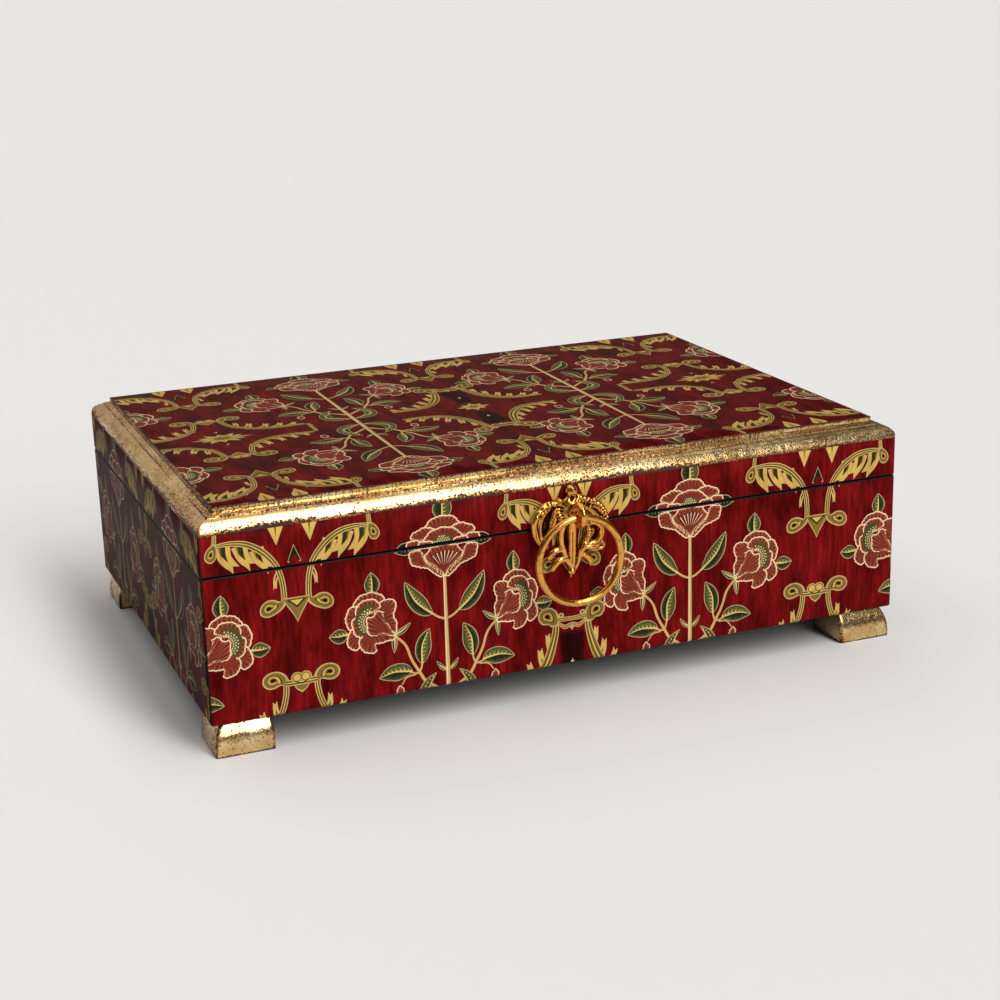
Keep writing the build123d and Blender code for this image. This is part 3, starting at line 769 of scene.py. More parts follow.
def edge_depth(distance, radius):
    """How far a quarter-round edge lies below the face, at a distance from the edge."""
    s = max(radius - distance, 0)
    return radius - sqrt(max(radius * radius - s * s, 0))


def limits_of(outline):
    """The lowest x and y and the highest x and y of an outline."""
    across, upwards = [z.real for z in outline], [z.imag for z in outline]
    return min(across), min(upwards), max(across), max(upwards)


def covered(x, y, outline):
    """Which of the points lie inside an outline, by their winding number."""
    a = np.array([(z.real, z.imag) for z in outline])
    b = np.roll(a, -1, axis=0)
    ax, ay, bx, by = (column[:, None] for column in (a[:, 0], a[:, 1], b[:, 0], b[:, 1]))
    turn = (bx - ax) * (y - ay) - (x - ax) * (by - ay)
    rising = (ay <= y) & (by > y) & (turn > 0)
    falling = (ay > y) & (by <= y) & (turn < 0)
    return rising.sum(axis=0) != falling.sum(axis=0)


print("guide rows for the corner lie", [round(d, 2) for d in guide_offsets(1.8, 0.85)], "mm in")

# %% [markdown]
# ## The lines of a sheet
#
# A sheet is cut from the cloth by its corners. Before it becomes a mesh, all the lines that the mesh
# has to follow are collected: the sheet's own border, in short steps so that it can bend, the guide
# rows beside the eased edges, and the outline of every area of ink that reaches into the sheet.

# %% The lines of a sheet
border_steps, border_rises = 60, 16


def sheet_lines(shapes, low, high, limits, rounds):
    """The points and edges of a sheet's lines, and the ink areas that reach into it."""
    x0, y0, x1, y1 = limits
    points, edges, visible = [], [], []

    def add(outline, closed=True):
        first, count = len(points), len(outline)
        points.extend(Vector((z.real, z.imag)) for z in outline)
        edges.extend((first + i, first + (i + 1) % count) for i in range(count if closed else count - 1))

    corners = [complex(x0, y0), complex(x1, y0), complex(x1, y1), complex(x0, y1)]
    border = []
    for k, steps in enumerate((border_steps, border_rises) * 2):
        way = corners[(k + 1) % 4] - corners[k]
        border += [corners[k] + way * (i / steps) for i in range(steps)]
    add(border)
    for side, radius, start in rounds:
        for offset in guide_offsets(radius, start)[:-1]:
            place = (low.real + offset, low.imag + offset, high.real - offset, high.imag - offset)[side]
            upright = [complex(place, y0), complex(place, y1)]
            add(upright if side in (0, 2) else [complex(x0, place), complex(x1, place)], closed=False)
    for ink, outline in shapes:
        left, bottom, right, top = limits_of(outline)
        if right > x0 and left < x1 and top > y0 and bottom < y1:
            visible.append((ink, outline))
            add(outline)
    return points, edges, visible


corner_lines = sheet_lines(front_cloth, 0j, 40 + 40j, (0, 0, 40, 40), [])
print("a square of 40 mm takes", len(corner_lines[0]), "points")

# %% [markdown]
# ## From the lines to a printed mesh
#
# A triangulation that keeps every line as an edge turns the overlapping lines into one flat mesh, in
# which no triangle crosses an outline. Each triangle takes the ink of the last area that covers its
# middle, which is how overprinting works. Triangles outside the sheet are dropped.

# %% Build a printed sheet
def printed_sheet(shapes, low, high, easings):
    """A flat sheet as points, triangles and inks.

    low and high are its corners. easings lists (side, radius, turn): the side is 0 left, 1 below,
    2 right or 3 above, and the sheet goes round that edge by the turn in degrees.
    """
    limits = [low.real, low.imag, high.real, high.imag]
    rounds = []
    for side, radius, turn in easings:
        start = radius * (1 - sin(radians(turn)))
        limits[side] += start if side < 2 else -start
        rounds.append((side, radius, start))
    points, edges, visible = sheet_lines(shapes, low, high, limits, rounds)
    flat, _, triangles, *_ = delaunay_2d_cdt(points, edges, [], 0, 1e-5)
    middles = np.array([tuple(point) for point in flat])[np.array(triangles)].mean(axis=1)
    inside = ((middles > limits[:2]) & (middles < limits[2:])).all(axis=1)
    order = np.argsort(middles[:, 0])
    order = order[inside[order]]
    x, y = middles[order].T
    printed = np.full(len(order), -1)
    for layer, (ink, outline) in enumerate(visible):
        left, bottom, right, top = limits_of(outline)
        first, last = np.searchsorted(x, (left, right))
        near = first + np.nonzero((y[first:last] > bottom) & (y[first:last] < top))[0]
        if len(near):
            printed[near[covered(x[near], y[near], outline)]] = layer
    kept = [triangles[i] for i in order]
    used = sorted({i for triangle in kept for i in triangle})
    new = {old: i for i, old in enumerate(used)}
    places = []
    for px, py in (flat[i] for i in used):
        gaps = (px - low.real, py - low.imag, high.real - px, high.imag - py)
        places.append((px, py, max([edge_depth(gaps[side], radius) for side, radius, _ in rounds], default=0)))
    names = [visible[layer][0] if layer >= 0 else "ground" for layer in printed]
    return places, [tuple(new[i] for i in triangle) for triangle in kept], names


corner_sheet = printed_sheet(front_cloth, 0j, 40 + 40j, [])
print("and gives", len(corner_sheet[1]), "triangles")

# %% [markdown]
# ## Paper and lacquer
#
# The paper's colours come from the mesh's own colour layer. Over them lie the things a print and its
# varnish have: fine darker streaks along the cloth, specks of worn ink and a slow change of tone.
# Motifs take only a part of that change, since their inks are thicker. The lacquer has gone dull, so
# the surface mirrors very little.

# %% The paper's material
paper, paper_surface = new_material("printed_paper_under_lacquer", Roughness=0.46, Specular_IOR_Level=0.015)
ink_colour = add_node(paper, "ShaderNodeAttribute", {"attribute_name": "ink"})
cloth_place = add_node(paper, "ShaderNodeAttribute", {"attribute_name": "cloth"}).outputs["Vector"]
tone = 1.0
for wide, long, low, high in ((9, 30, 0.42, 1.5), (1.5, 13, 0.6, 1.3), (0.4, 3.2, 0.8, 1.2)):
    stretched = add_node(paper, "ShaderNodeMapping", Vector=cloth_place, Scale=(1 / wide, 1 / long, 1))
    cloud = add_node(paper, "ShaderNodeTexNoise", Vector=stretched.outputs[0], Scale=1.0, Detail=3.0, Roughness=0.6)
    share = add_node(paper, "ShaderNodeMapRange", Value=cloud.outputs[0], From_Min=0.32, From_Max=0.68,
                     To_Min=low, To_Max=high)
    tone = add_node(paper, "ShaderNodeMath", {"operation": "MULTIPLY"}, i0=tone, i1=share.outputs[0]).outputs[0]
motif_tone = add_node(paper, "ShaderNodeMapRange", Value=tone, From_Max=1.0, To_Min=0.72, To_Max=1.0).outputs[0]
dye = add_node(paper, "ShaderNodeMix", i0=ink_colour.outputs["Alpha"], i2=motif_tone, i3=tone).outputs[0]
toned = add_node(paper, "ShaderNodeVectorMath", {"operation": "SCALE"}, i0=ink_colour.outputs["Color"], Scale=dye)
feed(paper_surface, Base_Color=toned.outputs[0])
print("paper material has", len(paper.node_tree.nodes), "nodes")

# %% [markdown]
# ## Black stain
#
# The bare wood of the inside, the underside and the worn corners is stained black. Stain soaks in
# unevenly and raises the grain a little, so both the tone and the surface follow one noise.

# %% The stained board
stained, stained_surface = new_material("black_stained_board", Roughness=0.5, Specular_IOR_Level=0.12)
stain_place = add_node(stained, "ShaderNodeTexCoord").outputs["Object"]
stain_noise = add_node(stained, "ShaderNodeTexNoise", Vector=stain_place, Scale=1 / (2.5 * MM), Detail=4.0).outputs[0]
stain_share = add_node(stained, "ShaderNodeMapRange", Value=stain_noise, From_Min=0.35, From_Max=0.65).outputs[0]
stain_tone = add_node(stained, "ShaderNodeMix", colour_mix, i0=stain_share, i6=linear("#0b0908"), i7=linear("#1c1613"))
stain_bump = add_node(stained, "ShaderNodeBump", Height=stain_noise, Strength=0.3, Distance=0.06 * MM)
feed(stained_surface, Base_Color=stain_tone.outputs[2], Normal=stain_bump.outputs[0])
print("stain has", len(stained.node_tree.nodes), "nodes")

# %% [markdown]
# ## Walls and boards
#
# The case, the lid and the mouldings have the same four sides, so one helper says where each side
# starts, runs and faces. A papered board keeps the shape of its solid: only its outer skin moves in
# by the thickness of the paper, and the sheet will take the place of that skin.

# %% Walls and boards
sides = ("front", "back", "left", "right")


def wall_frame(side):
    """The origin, the run, the outward normal and half the length of one wall, in millimetres."""
    half, deep = (right_edge - left_edge) / 2, (back_face - front_face) / 2
    return {
        "front": (Vector((0, front_face, 0)), Vector((1, 0, 0)), Vector((0, -1, 0)), half),
        "back": (Vector((0, back_face, 0)), Vector((-1, 0, 0)), Vector((0, 1, 0)), half),
        "left": (Vector((left_edge, middle_y, 0)), Vector((0, -1, 0)), Vector((-1, 0, 0)), deep),
        "right": (Vector((right_edge, middle_y, 0)), Vector((0, 1, 0)), Vector((1, 0, 0)), deep),
    }[side]


def solid_mesh(node, sink=None):
    """A node's own mesh in world millimetres. sink moves the points of its outer skin inwards."""
    mesh = bmesh.new()
    mesh.from_mesh(nodes[node].data)
    mesh.transform(nodes[node].matrix_world)
    bmesh.ops.scale(mesh, vec=(1 / MM,) * 3, verts=mesh.verts)
    if sink:
        for vertex in mesh.verts:
            sink(vertex.co)
    return mesh


def sink_wall(place):
    """Move a point of the outer skin of a wall in by the paper's thickness."""
    depth = foot_ease + 0.05
    if place.x > right_edge - depth:
        place.x -= paper_thickness
    elif place.x < left_edge + depth:
        place.x += paper_thickness
    if place.y > back_face - depth:
        place.y -= paper_thickness
    elif place.y < front_face + depth:
        place.y += paper_thickness


print("a side wall is", round(2 * wall_frame("left")[3], 1), "mm long")

# %% [markdown]
# ## Laying a sheet
#
# The flat sheet is carried onto its board point by point. Each corner of a triangle gets its ink, and
# each point remembers its place on the cloth, for the paper's streaks. A narrow turned-in rim makes
# it read as a sheet of real thickness; the stained board shows at the corners and along the seam,
# where paper is rubbed away first.

# %% Lay a sheet
plain_inks, rim_depth = ("ground", "dusk", "maroon"), 0.12


def add_sheet(mesh, sheet, to_world, inward, to_cloth, painted_shade):
    """Add a printed sheet and its rim to a board's mesh. The last argument scales the inks of the ground and the
    motifs; below 1 it darkens them as painted shade.
    """
    places, triangles, names = sheet
    ink_layer = mesh.loops.layers.float_color.new("ink")
    cloth_layer = mesh.verts.layers.float_vector.new("cloth")
    colours = {}
    for name, hex_colour in inks.items():
        plain = name in plain_inks
        # painted shade: each ink is scaled by the sheet's factor for the ground or for the motifs
        colours[name] = (*(v * painted_shade[0 if plain else 1] for v in linear(hex_colour)[:3]), float(plain))

    def add_point(place, on_cloth):
        vertex = mesh.verts.new(place)
        vertex[cloth_layer] = on_cloth
        return vertex

    def add_face(corners, name):
        face = mesh.faces.new(corners)
        face.material_index = 1
        for loop in face.loops:
            loop[ink_layer] = colours[name]

    verts = [add_point(to_world(x, y, depth), (*to_cloth(x, y), 0)) for x, y, depth in places]
    for triangle, name in zip(triangles, names):
        add_face([verts[i] for i in triangle], name)
    rim = list(dict.fromkeys(edge for v in verts for edge in v.link_edges if edge.is_boundary))
    lowered = {}
    for edge in rim:
        for v in edge.verts:
            lowered[v] = lowered.get(v) or add_point(v.co + inward * rim_depth, v[cloth_layer])
    for edge in rim:
        loop = edge.link_loops[0]
        a, b = loop.vert, loop.link_loop_next.vert
        add_face([b, a, lowered[a], lowered[b]], "maroon")


print("the turned-in rim of a sheet is", rim_depth, "mm deep")

# %% [markdown]
# ## Handing a piece over
#
# Every finished mesh becomes an object in metres, with its materials, and takes the place of its
# node on the body that carries it. Shading is smooth except where two faces meet at a clear angle.

# %% Finish a piece
def finish_piece(name, mesh, materials, replaced, body, sharp=42):
    """Turn a mesh in millimetres into the piece that takes a node's place."""
    bmesh.ops.scale(mesh, vec=(MM,) * 3, verts=mesh.verts)
    data = bpy.data.meshes.new(name)
    mesh.to_mesh(data)
    mesh.free()
    data.shade_smooth()
    data.set_sharp_from_angle(angle=radians(sharp))
    for material in materials:
        data.materials.append(material)
    piece = bpy.data.objects.new(name, data)
    bpy.context.scene.collection.objects.link(piece)
    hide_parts(replaced)
    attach(piece, body)
    print(name, "has", len(data.polygons), "faces")
    return piece


# %% [markdown]
# ## Papering the boards
#
# One cloth is laid over each side of the box, and the sheets of the case and of the lid are cut from
# it, so the pattern runs over the seam. In the photograph the side and the top are much darker than
# the front. Part of that is light, and the rest is painted shade: the inks of the side and top sheets
# are scaled darker. A sheet goes round an eased edge by some degrees: far round the foot, and only
# just round the seam.

# %% Paper the boards
cloth_drop = 3.3
corner_turn, foot_turn, seam_turn = 32, 50, 8
# painted shade: the side sheets' inks are scaled darker; the front and back ones are not
sheet_painted_shade = {"front": (1, 1), "back": (1, 1), "left": (0.34, 0.42), "right": (0.34, 0.42)}
board_rows = {"case": (case_floor, case_top, [(1, foot_ease, foot_turn), (3, seam_ease, seam_turn)]),
              "lid": (lid_floor, lid_top, [(1, seam_ease, seam_turn)])}
for side, painted_shade in sheet_painted_shade.items():
    origin, run, out, half = wall_frame(side)
    pattern = placed(front_cloth if side in ("front", "back") else side_cloth, -1j * cloth_drop)
    for body, (low, high, easings) in board_rows.items():
        sheet = printed_sheet(pattern, complex(-half, low), complex(half, high),
                              [(0, corner_ease, corner_turn), (2, corner_ease, corner_turn), *easings])
        mesh = solid_mesh(body + "_" + side, sink_wall)
        add_sheet(mesh, sheet, lambda x, y, depth: origin + run * x - out * depth + Vector((0, 0, y)), -out,
                  lambda x, y: (x, y + cloth_drop), painted_shade)
        finish_piece(body + "_" + side + "_papered", mesh, [stained, paper], body + "_" + side, body)

# %% [markdown]
# ## The moulding's section
#
# From outside inwards the moulding has a quarter-round, a small bead, a sloping band and a ledge on
# which the panel lies. Its section is drawn once, with the sharp corners softened, because leaf over
# clay never leaves a crisp edge.

# %% The moulding's section
moulding_height = panel_top - lid_top
ledge_height = panel_low.z - lid_top
panel_inset, ledge_width = 8.0, 6.0
panel_step, band_width, band_fall, bead_step, ovolo_radius = 1.9, 2.7, 0.8, 0.5, 5.7
arc_steps = 14


def softened(corners, cut=0.16):
    """The corners of a section, each replaced by a small round of three points."""
    points = [corners[0]]
    for before, corner, after in zip(corners, corners[1:], corners[2:]):
        a = corner + (before - corner) / abs(before - corner) * cut
        b = corner + (after - corner) / abs(after - corner) * cut
        points += [a, (a + b) / 4 + corner / 2, b]
    return points + [corners[-1]]


def moulding_section():
    """The section as complex numbers, inwards + 1j * up, from the ovolo's foot round to the bottom."""
    band_top = moulding_height - panel_step
    ovolo_end = complex(panel_inset - band_width, band_top - band_fall - bead_step)
    half_chord = ovolo_end / 2
    centre = half_chord - 1j * half_chord / abs(half_chord) * sqrt(ovolo_radius**2 - abs(half_chord) ** 2)
    start, end = atan2(-centre.imag, -centre.real), atan2((ovolo_end - centre).imag, (ovolo_end - centre).real)
    arc = [centre + ovolo_radius * complex(cos(a), sin(a))
           for a in (start + (end - start) * i / arc_steps for i in range(arc_steps))]
    band_foot = complex(ovolo_end.real, band_top - band_fall)
    rise = complex(panel_inset, band_top) - band_foot
    shown = softened([arc[-1], ovolo_end, band_foot, band_foot + rise * 0.25])
    return arc[:-1] + shown + [band_foot + rise * s for s in (0.45, 0.65, 0.85, 1)] + [
        complex(panel_inset, ledge_height), complex(panel_inset + ledge_width, ledge_height),
        complex(panel_inset + ledge_width, 0), complex(6, 0), complex(1.5, 0)]


section = moulding_section()
print("moulding section of", len(section), "points; its bead starts at", section[arc_steps])

# %% [markdown]
# ## Worn leaf
#
# A gilder covers the wood with red-brown clay, lays sheets of brass leaf over it and rubs the leaf
# until the clay shows on the arrises. So the surface needs two things from the mesh: a slightly
# uneven form, because hand-laid leaf is never flat, and a value at each point for how worn it is.
# Both come from noise that is fixed in space, in a few sizes: waves and dents per millimetre.

# %% Worn leaf over wood
wave_rate, dent_rate, pit_rate, pit_depth = 0.22, 0.7, 1.9, 0.16
patch_rate, fleck_rate = 0.16, 0.9


def sunk(place, depth=0.05):
    """How deep leaf lies below the true surface at a place, in millimetres: broad dents and small pits."""
    broad = noise.noise(place * wave_rate) + 0.6 * noise.noise(place * dent_rate)
    pits = max(noise.noise(place * pit_rate) - 0.22, 0)
    return depth * (0.7 + 0.6 * broad) + pit_depth * pits


def rubbed(place, share):
    """How worn the leaf is at a place, from 0 to 1, where share is how exposed it is."""
    patch = 0.5 + 0.9 * noise.noise(place * patch_rate) + 0.5 * noise.noise(place * fleck_rate)
    return min(max(share * (0.55 + patch) - 0.1, 0), 1)


def eased(place):
    """Pull a point back to the rounded upright corners of the box."""
    for x_edge, x_way in ((left_edge, 1), (right_edge, -1)):
        for y_edge, y_way in ((front_face, 1), (back_face, -1)):
            away = Vector((x_edge + x_way * corner_ease - place.x, y_edge + y_way * corner_ease - place.y))
            if away.x * x_way > 0 and away.y * y_way > 0 and away.length > corner_ease:
                keep = away * (1 - corner_ease / away.length)
                place.x += keep.x
                place.y += keep.y
    return place


print("leaf lies", round(sunk(Vector((10, -100, 92))), 3), "mm below the true surface at one place")

# %% [markdown]
# ## Carrying a section along a side
#
# A joiner planes a moulding in one length and cuts it to 45 degrees at the corners. Here its section
# is repeated along a side in short steps, each shortened by how far a point lies inwards, which gives
# the same mitre. Close to the mitre the steps are finer, for the fine groove of the joint and the
# leaf worn off beside it. Wear runs in long streaks, so its noise is stretched along the side, and
# read far off on each side so that no two sides match.

# %% Sweep a section
mitre_steps = (0, 0.12, 0.3, 0.6)
groove_depth, groove_width = 0.1, 0.28
mitre_wear, mitre_wear_width = 0.5, 0.4
streak_along, streak_across, side_shift = 0.22, 1.6, 31


def join_rows(mesh, rows, round_section=True, round_path=False):
    """Fill between neighbouring rows of vertices with four-sided faces. Returns the faces."""
    if round_section:
        rows = [row + row[:1] for row in rows]
    if round_path:
        rows = rows + rows[:1]
    return [mesh.faces.new(corners) for row, following in zip(rows, rows[1:])
            for corners in zip(row, following, following[1:], row[1:])]


def sweep(mesh, side, section, base, exposure, closed=True, spacing=1.3):
    """Carry a section along one side of the box, mitred at both ends. exposure gives each point's wear."""
    origin, run, out, half = wall_frame(side)
    wear_layer = mesh.verts.layers.float.get("wear") or mesh.verts.layers.float.new("wear")
    steps = round(2 * half / spacing)
    stations = [gap / half for gap in mitre_steps] + [2 * i / steps for i in range(1, steps)]
    stations = sorted({-1 + s for s in stations} | {1 - gap / half for gap in mitre_steps})
    rows = []
    for station in stations:
        row = []
        gap = (1 - abs(station)) * half
        for k, spot in enumerate(section):
            along = section[(k + 1) % len(section)] - section[k - 1] if closed else heading(section, k)
            face = sideways(along)
            place = origin + run * station * (half - spot.real) - out * spot.real + Vector((0, 0, base + spot.imag))
            streak = Vector((station * half * streak_along, spot.real * streak_across, spot.imag * streak_across))
            if exposure[k] >= 0:
                depth = sunk(place) + groove_depth * exp(-((gap / groove_width) ** 2))
                place -= (Vector((0, 0, face.imag)) - out * face.real) * depth
            vertex = mesh.verts.new(eased(place))
            beside_joint = mitre_wear * exp(-((gap / mitre_wear_width) ** 2))
            vertex[wear_layer] = rubbed(streak + out * side_shift, max(exposure[k], 0)) + beside_joint
            row.append(vertex)
        rows.append(row)
    faces = join_rows(mesh, rows, closed)
    if closed:
        faces += [mesh.faces.new(rows[0]), mesh.faces.new(rows[-1][::-1])]
    return faces


print("wear beside a mitre reaches", 2 * mitre_wear_width, "mm")

# %% [markdown]
# ## Brass leaf over red bole
#
# Leaf is metal, so it takes its colour from what it reflects and keeps the default IOR. Its
# roughness is low, since rubbing polishes it, and rises where the leaf is thin. Pits and rubbed
# arrises bare the clay underneath, which isn't metal, so there the metallic value falls. There are
# more pits where the leaf is worn. They are drawn about half a millimetre wide, coarser than real
# ones, so that they show in a picture.

# %% Where the leaf is thin, pitted or gone
gilding, gilding_surface = new_material("brass_leaf_over_red_bole")
gilt_place = add_node(gilding, "ShaderNodeTexCoord").outputs["Object"]
worn = add_node(gilding, "ShaderNodeAttribute", {"attribute_name": "wear"}).outputs["Fac"]
tone_noise, pit_noise, dent_noise = (
    add_node(gilding, "ShaderNodeTexNoise", Vector=gilt_place, Scale=1 / (size * MM), Detail=detail,
             Roughness=rough).outputs[0]
    for size, detail, rough in ((14, 3.0, 0.6), (0.9, 3.0, 0.65), (3.2, 2.0, 0.5)))
pit_sum = add_node(gilding, "ShaderNodeMath", multiply_add, i0=worn, i1=0.3, i2=pit_noise).outputs[0]
bole_sum = add_node(gilding, "ShaderNodeMath", multiply_add, i0=pit_noise, i1=0.9, i2=worn).outputs[0]
tone_share, thin_share, pit_share, bole_share = (
    add_node(gilding, "ShaderNodeMapRange", Value=value, From_Min=low, From_Max=high).outputs[0]
    for value, low, high in ((tone_noise, 0.35, 0.65), (worn, 0.2, 0.5), (pit_sum, 0.6, 0.64), (bole_sum, 1.02, 1.16)))
bare_share = add_node(gilding, "ShaderNodeMath", {"operation": "MAXIMUM"}, i0=bole_share, i1=pit_share).outputs[0]
print("gilding has", len(gilding.node_tree.nodes), "nodes so far")

# %% [markdown]
# ## The gilding's colour and polish
#
# Leaf is laid in sheets from different books, so its tone changes slowly. Over that the colours are
# stacked as they are on the wood: thin leaf looks redder, a pit is dark, and bole shows where leaf is
# gone. Polish follows the same shares.

# %% The gilding's colour and polish
gilt_colour = linear("#cba568")
for share, colour in ((tone_share, "#ead09c"), (thin_share, "#c38b52"), (pit_share, "#553814"),
                      (bole_share, "#3a1a10")):
    gilt_colour = add_node(gilding, "ShaderNodeMix", colour_mix, i0=share, i6=gilt_colour, i7=linear(colour)).outputs[2]
gilt_metal = add_node(gilding, "ShaderNodeMapRange", Value=bare_share, To_Min=1.0, To_Max=0.1).outputs[0]
gilt_rough = add_node(gilding, "ShaderNodeMapRange", Value=pit_noise, From_Min=0.4, From_Max=0.7, To_Min=0.11,
                      To_Max=0.27).outputs[0]
for share, more in ((thin_share, 0.25), (bare_share, 0.3)):
    gilt_rough = add_node(gilding, "ShaderNodeMath", multiply_add, i0=share, i1=more, i2=gilt_rough).outputs[0]
gilt_height = add_node(gilding, "ShaderNodeMath", multiply_add, i0=dent_noise, i1=1.6, i2=pit_noise).outputs[0]
gilt_bump = add_node(gilding, "ShaderNodeBump", Height=gilt_height, Strength=0.5, Distance=0.1 * MM).outputs[0]
feed(gilding_surface, Base_Color=gilt_colour, Metallic=gilt_metal, Roughness=gilt_rough, Normal=gilt_bump)
print("and", len(gilding.node_tree.nodes), "in the end")

# %% [markdown]
# ## The four mouldings
#
# Leaf wears first where hands and cloths rub, at the foot of the quarter-round and on the bead. The
# faces that meet other wood were never gilt, so they stay black-stained: their exposure is -1.

# %% The four mouldings
ovolo_foot_wear, ovolo_wear, bead_wear, band_wear = (0.85, 0.7, 0.55, 0.45, 0.38), 0.27, 0.5, 0.34
band_start, hidden_points = panel_inset - band_width, 5
exposure = []
for k, spot in enumerate(section[:-hidden_points]):
    if spot.real < band_start - 0.1:
        exposure.append(ovolo_foot_wear[k] if k < len(ovolo_foot_wear) else ovolo_wear)
    else:
        exposure.append(bead_wear if spot.real < band_start + 0.2 else band_wear)
exposure += [-1] * hidden_points
for side in sides:
    mesh = bmesh.new()
    for i, face in enumerate(sweep(mesh, side, section, lid_top, exposure)):
        if exposure[i % len(section)] < 0:
            face.material_index = 1
    finish_piece("moulding_" + side + "_gilt", mesh, [gilding, stained], "moulding_" + side, "lid")

# %% [markdown]
# ## The lid panel
#
# The panel is papered like the boards. The cloth and its mirror image meet along its middle line, so
# the sprays grow towards the front and towards the back. Its edge stands a little above the moulding
# and is gilt like it, and there the leaf is worn most, since every hand that opens the box rubs it.

# %% The lid panel
gilt_edge_skin = 0.2


def sink_panel(place):
    """Move a point of the panel's outer skin in by the thickness of paper and leaf."""
    if place.z > panel_top - 1:
        place.z -= paper_thickness
    place.x -= gilt_edge_skin if place.x > 0 else -gilt_edge_skin
    place.y -= gilt_edge_skin if place.y > middle_y else -gilt_edge_skin


edge_inset = panel_low.x - left_edge
hidden_edge = 2.6
rise_low, rise_high = panel_low.z - lid_top + hidden_edge, panel_top - lid_top
edge_section = softened([complex(edge_inset, rise_low + s * (rise_high - rise_low)) for s in (0, 0.3, 0.6, 0.85, 1)]
                        + [complex(edge_inset + 0.7, rise_high)], 0.35)
edge_wear = [0.4] * (len(edge_section) - 6) + [0.6, 0.9, 0.9, 0.9, 0.9, 0.8]
# painted shade: the panel's ground and motif inks are scaled darker, so the top looks less lit than the front
gilt_border, top_painted_shade = 0.6, (0.51, 0.66)
corner = complex(panel_high.x - panel_low.x, panel_high.y - panel_low.y) / 2 - complex(gilt_border, gilt_border)
sheet = printed_sheet(front_cloth + placed(front_cloth, flip=True), -corner, corner, [])
mesh = solid_mesh("lid_panel", sink_panel)
add_sheet(mesh, sheet, lambda x, y, depth: Vector((x, middle_y + y, panel_top)), Vector((0, 0, -1)),
          lambda x, y: (x, y), top_painted_shade)
for side in sides:
    for face in sweep(mesh, side, edge_section, lid_top, edge_wear, closed=False):
        face.material_index = 2
finish_piece("lid_panel_papered", mesh, [stained, paper, gilding], "lid_panel", "lid")
print("panel sheet:", len(sheet[1]), "triangles")

# %% [markdown]
# ## Gilt feet
#
# Each foot is a block whose two outer faces round in towards the top, so its polished leaf mirrors
# the window above and the table below. It is built as a stack of outlines, from the sole to the top,
# and then dented and worn like the mouldings.

# %% A foot's outline and wear
foot_width, foot_toe, foot_radius = 24.0, 2.5, 20.0
sole_round, sole_height = 0.25, 0.35
side_steps = 22
side_points = side_steps + 2


def foot_inset(z):
    """How far the outer faces have rounded in at a height."""
    return foot_radius - sqrt(foot_radius**2 - max(z - foot_toe, 0) ** 2)


def foot_outline(low, high=foot_width, round_off=0.7):
    """The foot's plan as complex numbers from its outer corner, with rounded upright corners."""
    corners = [complex(low, low), complex(high, low), complex(high, high), complex(low, high)]
    outline = []
    for k, spot in enumerate(corners):
        before, after = corners[k - 1], corners[(k + 1) % 4]
        a = spot + (before - spot) / abs(before - spot) * round_off
        b = spot + (after - spot) / abs(after - spot) * round_off
        run = after - (after - b) / abs(after - b) * round_off - b
        outline += [a, (a + b) / 4 + spot / 2] + [b + run * i / side_steps for i in range(side_steps)]
    return outline


def foot_wear(z, k):
    """How exposed the leaf is at a height and at a point of the outline."""
    if z < 0.5:
        return 0.9
    if k % side_points < 3:
        return 0.6
    if z > case_floor - 1:
        return 0.45
    return 0.3 if k > 3 * side_points else 0.12


print("each foot rounds in by", round(foot_inset(case_floor), 2), "mm at its top")

# %% [markdown]
# ## Building the feet
#
# The four feet are the same block in four corners, but no two wear alike. So one loop builds them,
# and the dents and the wear come from each foot's own place in space.

# %% The feet
foot_levels = [0.0, 0.12, 0.35, 0.8, 1.5, 2.2] + [2.9 + 0.7 * i for i in range(15)] + [case_floor]
foot_middle = complex(foot_width, foot_width) / 2
for name in ("front_left", "front_right", "rear_left", "rear_right"):
    low, high = node_box("foot_" + name)
    mesh = bmesh.new()
    wear_layer = mesh.verts.layers.float.new("wear")
    x_corner, x_way = (low.x, 1) if "left" in name else (high.x, -1)
    y_corner, y_way = (low.y, 1) if "front" in name else (high.y, -1)
    rows = []
    for z in foot_levels:
        rounding = sole_round * (1 - z / sole_height) ** 2 if z < sole_height else 0
        row = []
        for k, spot in enumerate(foot_outline(foot_inset(z) + rounding)):
            place = Vector((x_corner + x_way * spot.real, y_corner + y_way * spot.imag, z))
            if min(spot.real, spot.imag) < foot_width / 2 and 0 < z < case_floor:
                away = (spot - foot_middle) / abs(spot - foot_middle)
                place -= Vector((x_way * away.real, y_way * away.imag, 0)) * sunk(place * 1.3, 0.09)
            vertex = mesh.verts.new(place)
            vertex[wear_layer] = rubbed(place, foot_wear(z, k))
            row.append(vertex)
        rows.append(row)
    join_rows(mesh, rows)
    mesh.faces.new(rows[0][::-1])
    mesh.faces.new(rows[-1])
    bmesh.ops.recalc_face_normals(mesh, faces=mesh.faces)
    finish_piece("foot_" + name + "_gilt", mesh, [gilding], "foot_" + name, "case", 60)

# %% [markdown]
# ## The cast ring pull
#
# The pull is cast in zinc, plated to an orange antique gold, and then brushed with dark patina that
# stays in its hollows. Sculpting such a skin by hand would be slow to change, so it is made by
# rule: a fine voxel remesh turns overlapping forms into one even skin, and a copy of that skin,
# smoothed by averaging neighbours, will show where it is hollow and where it is proud.

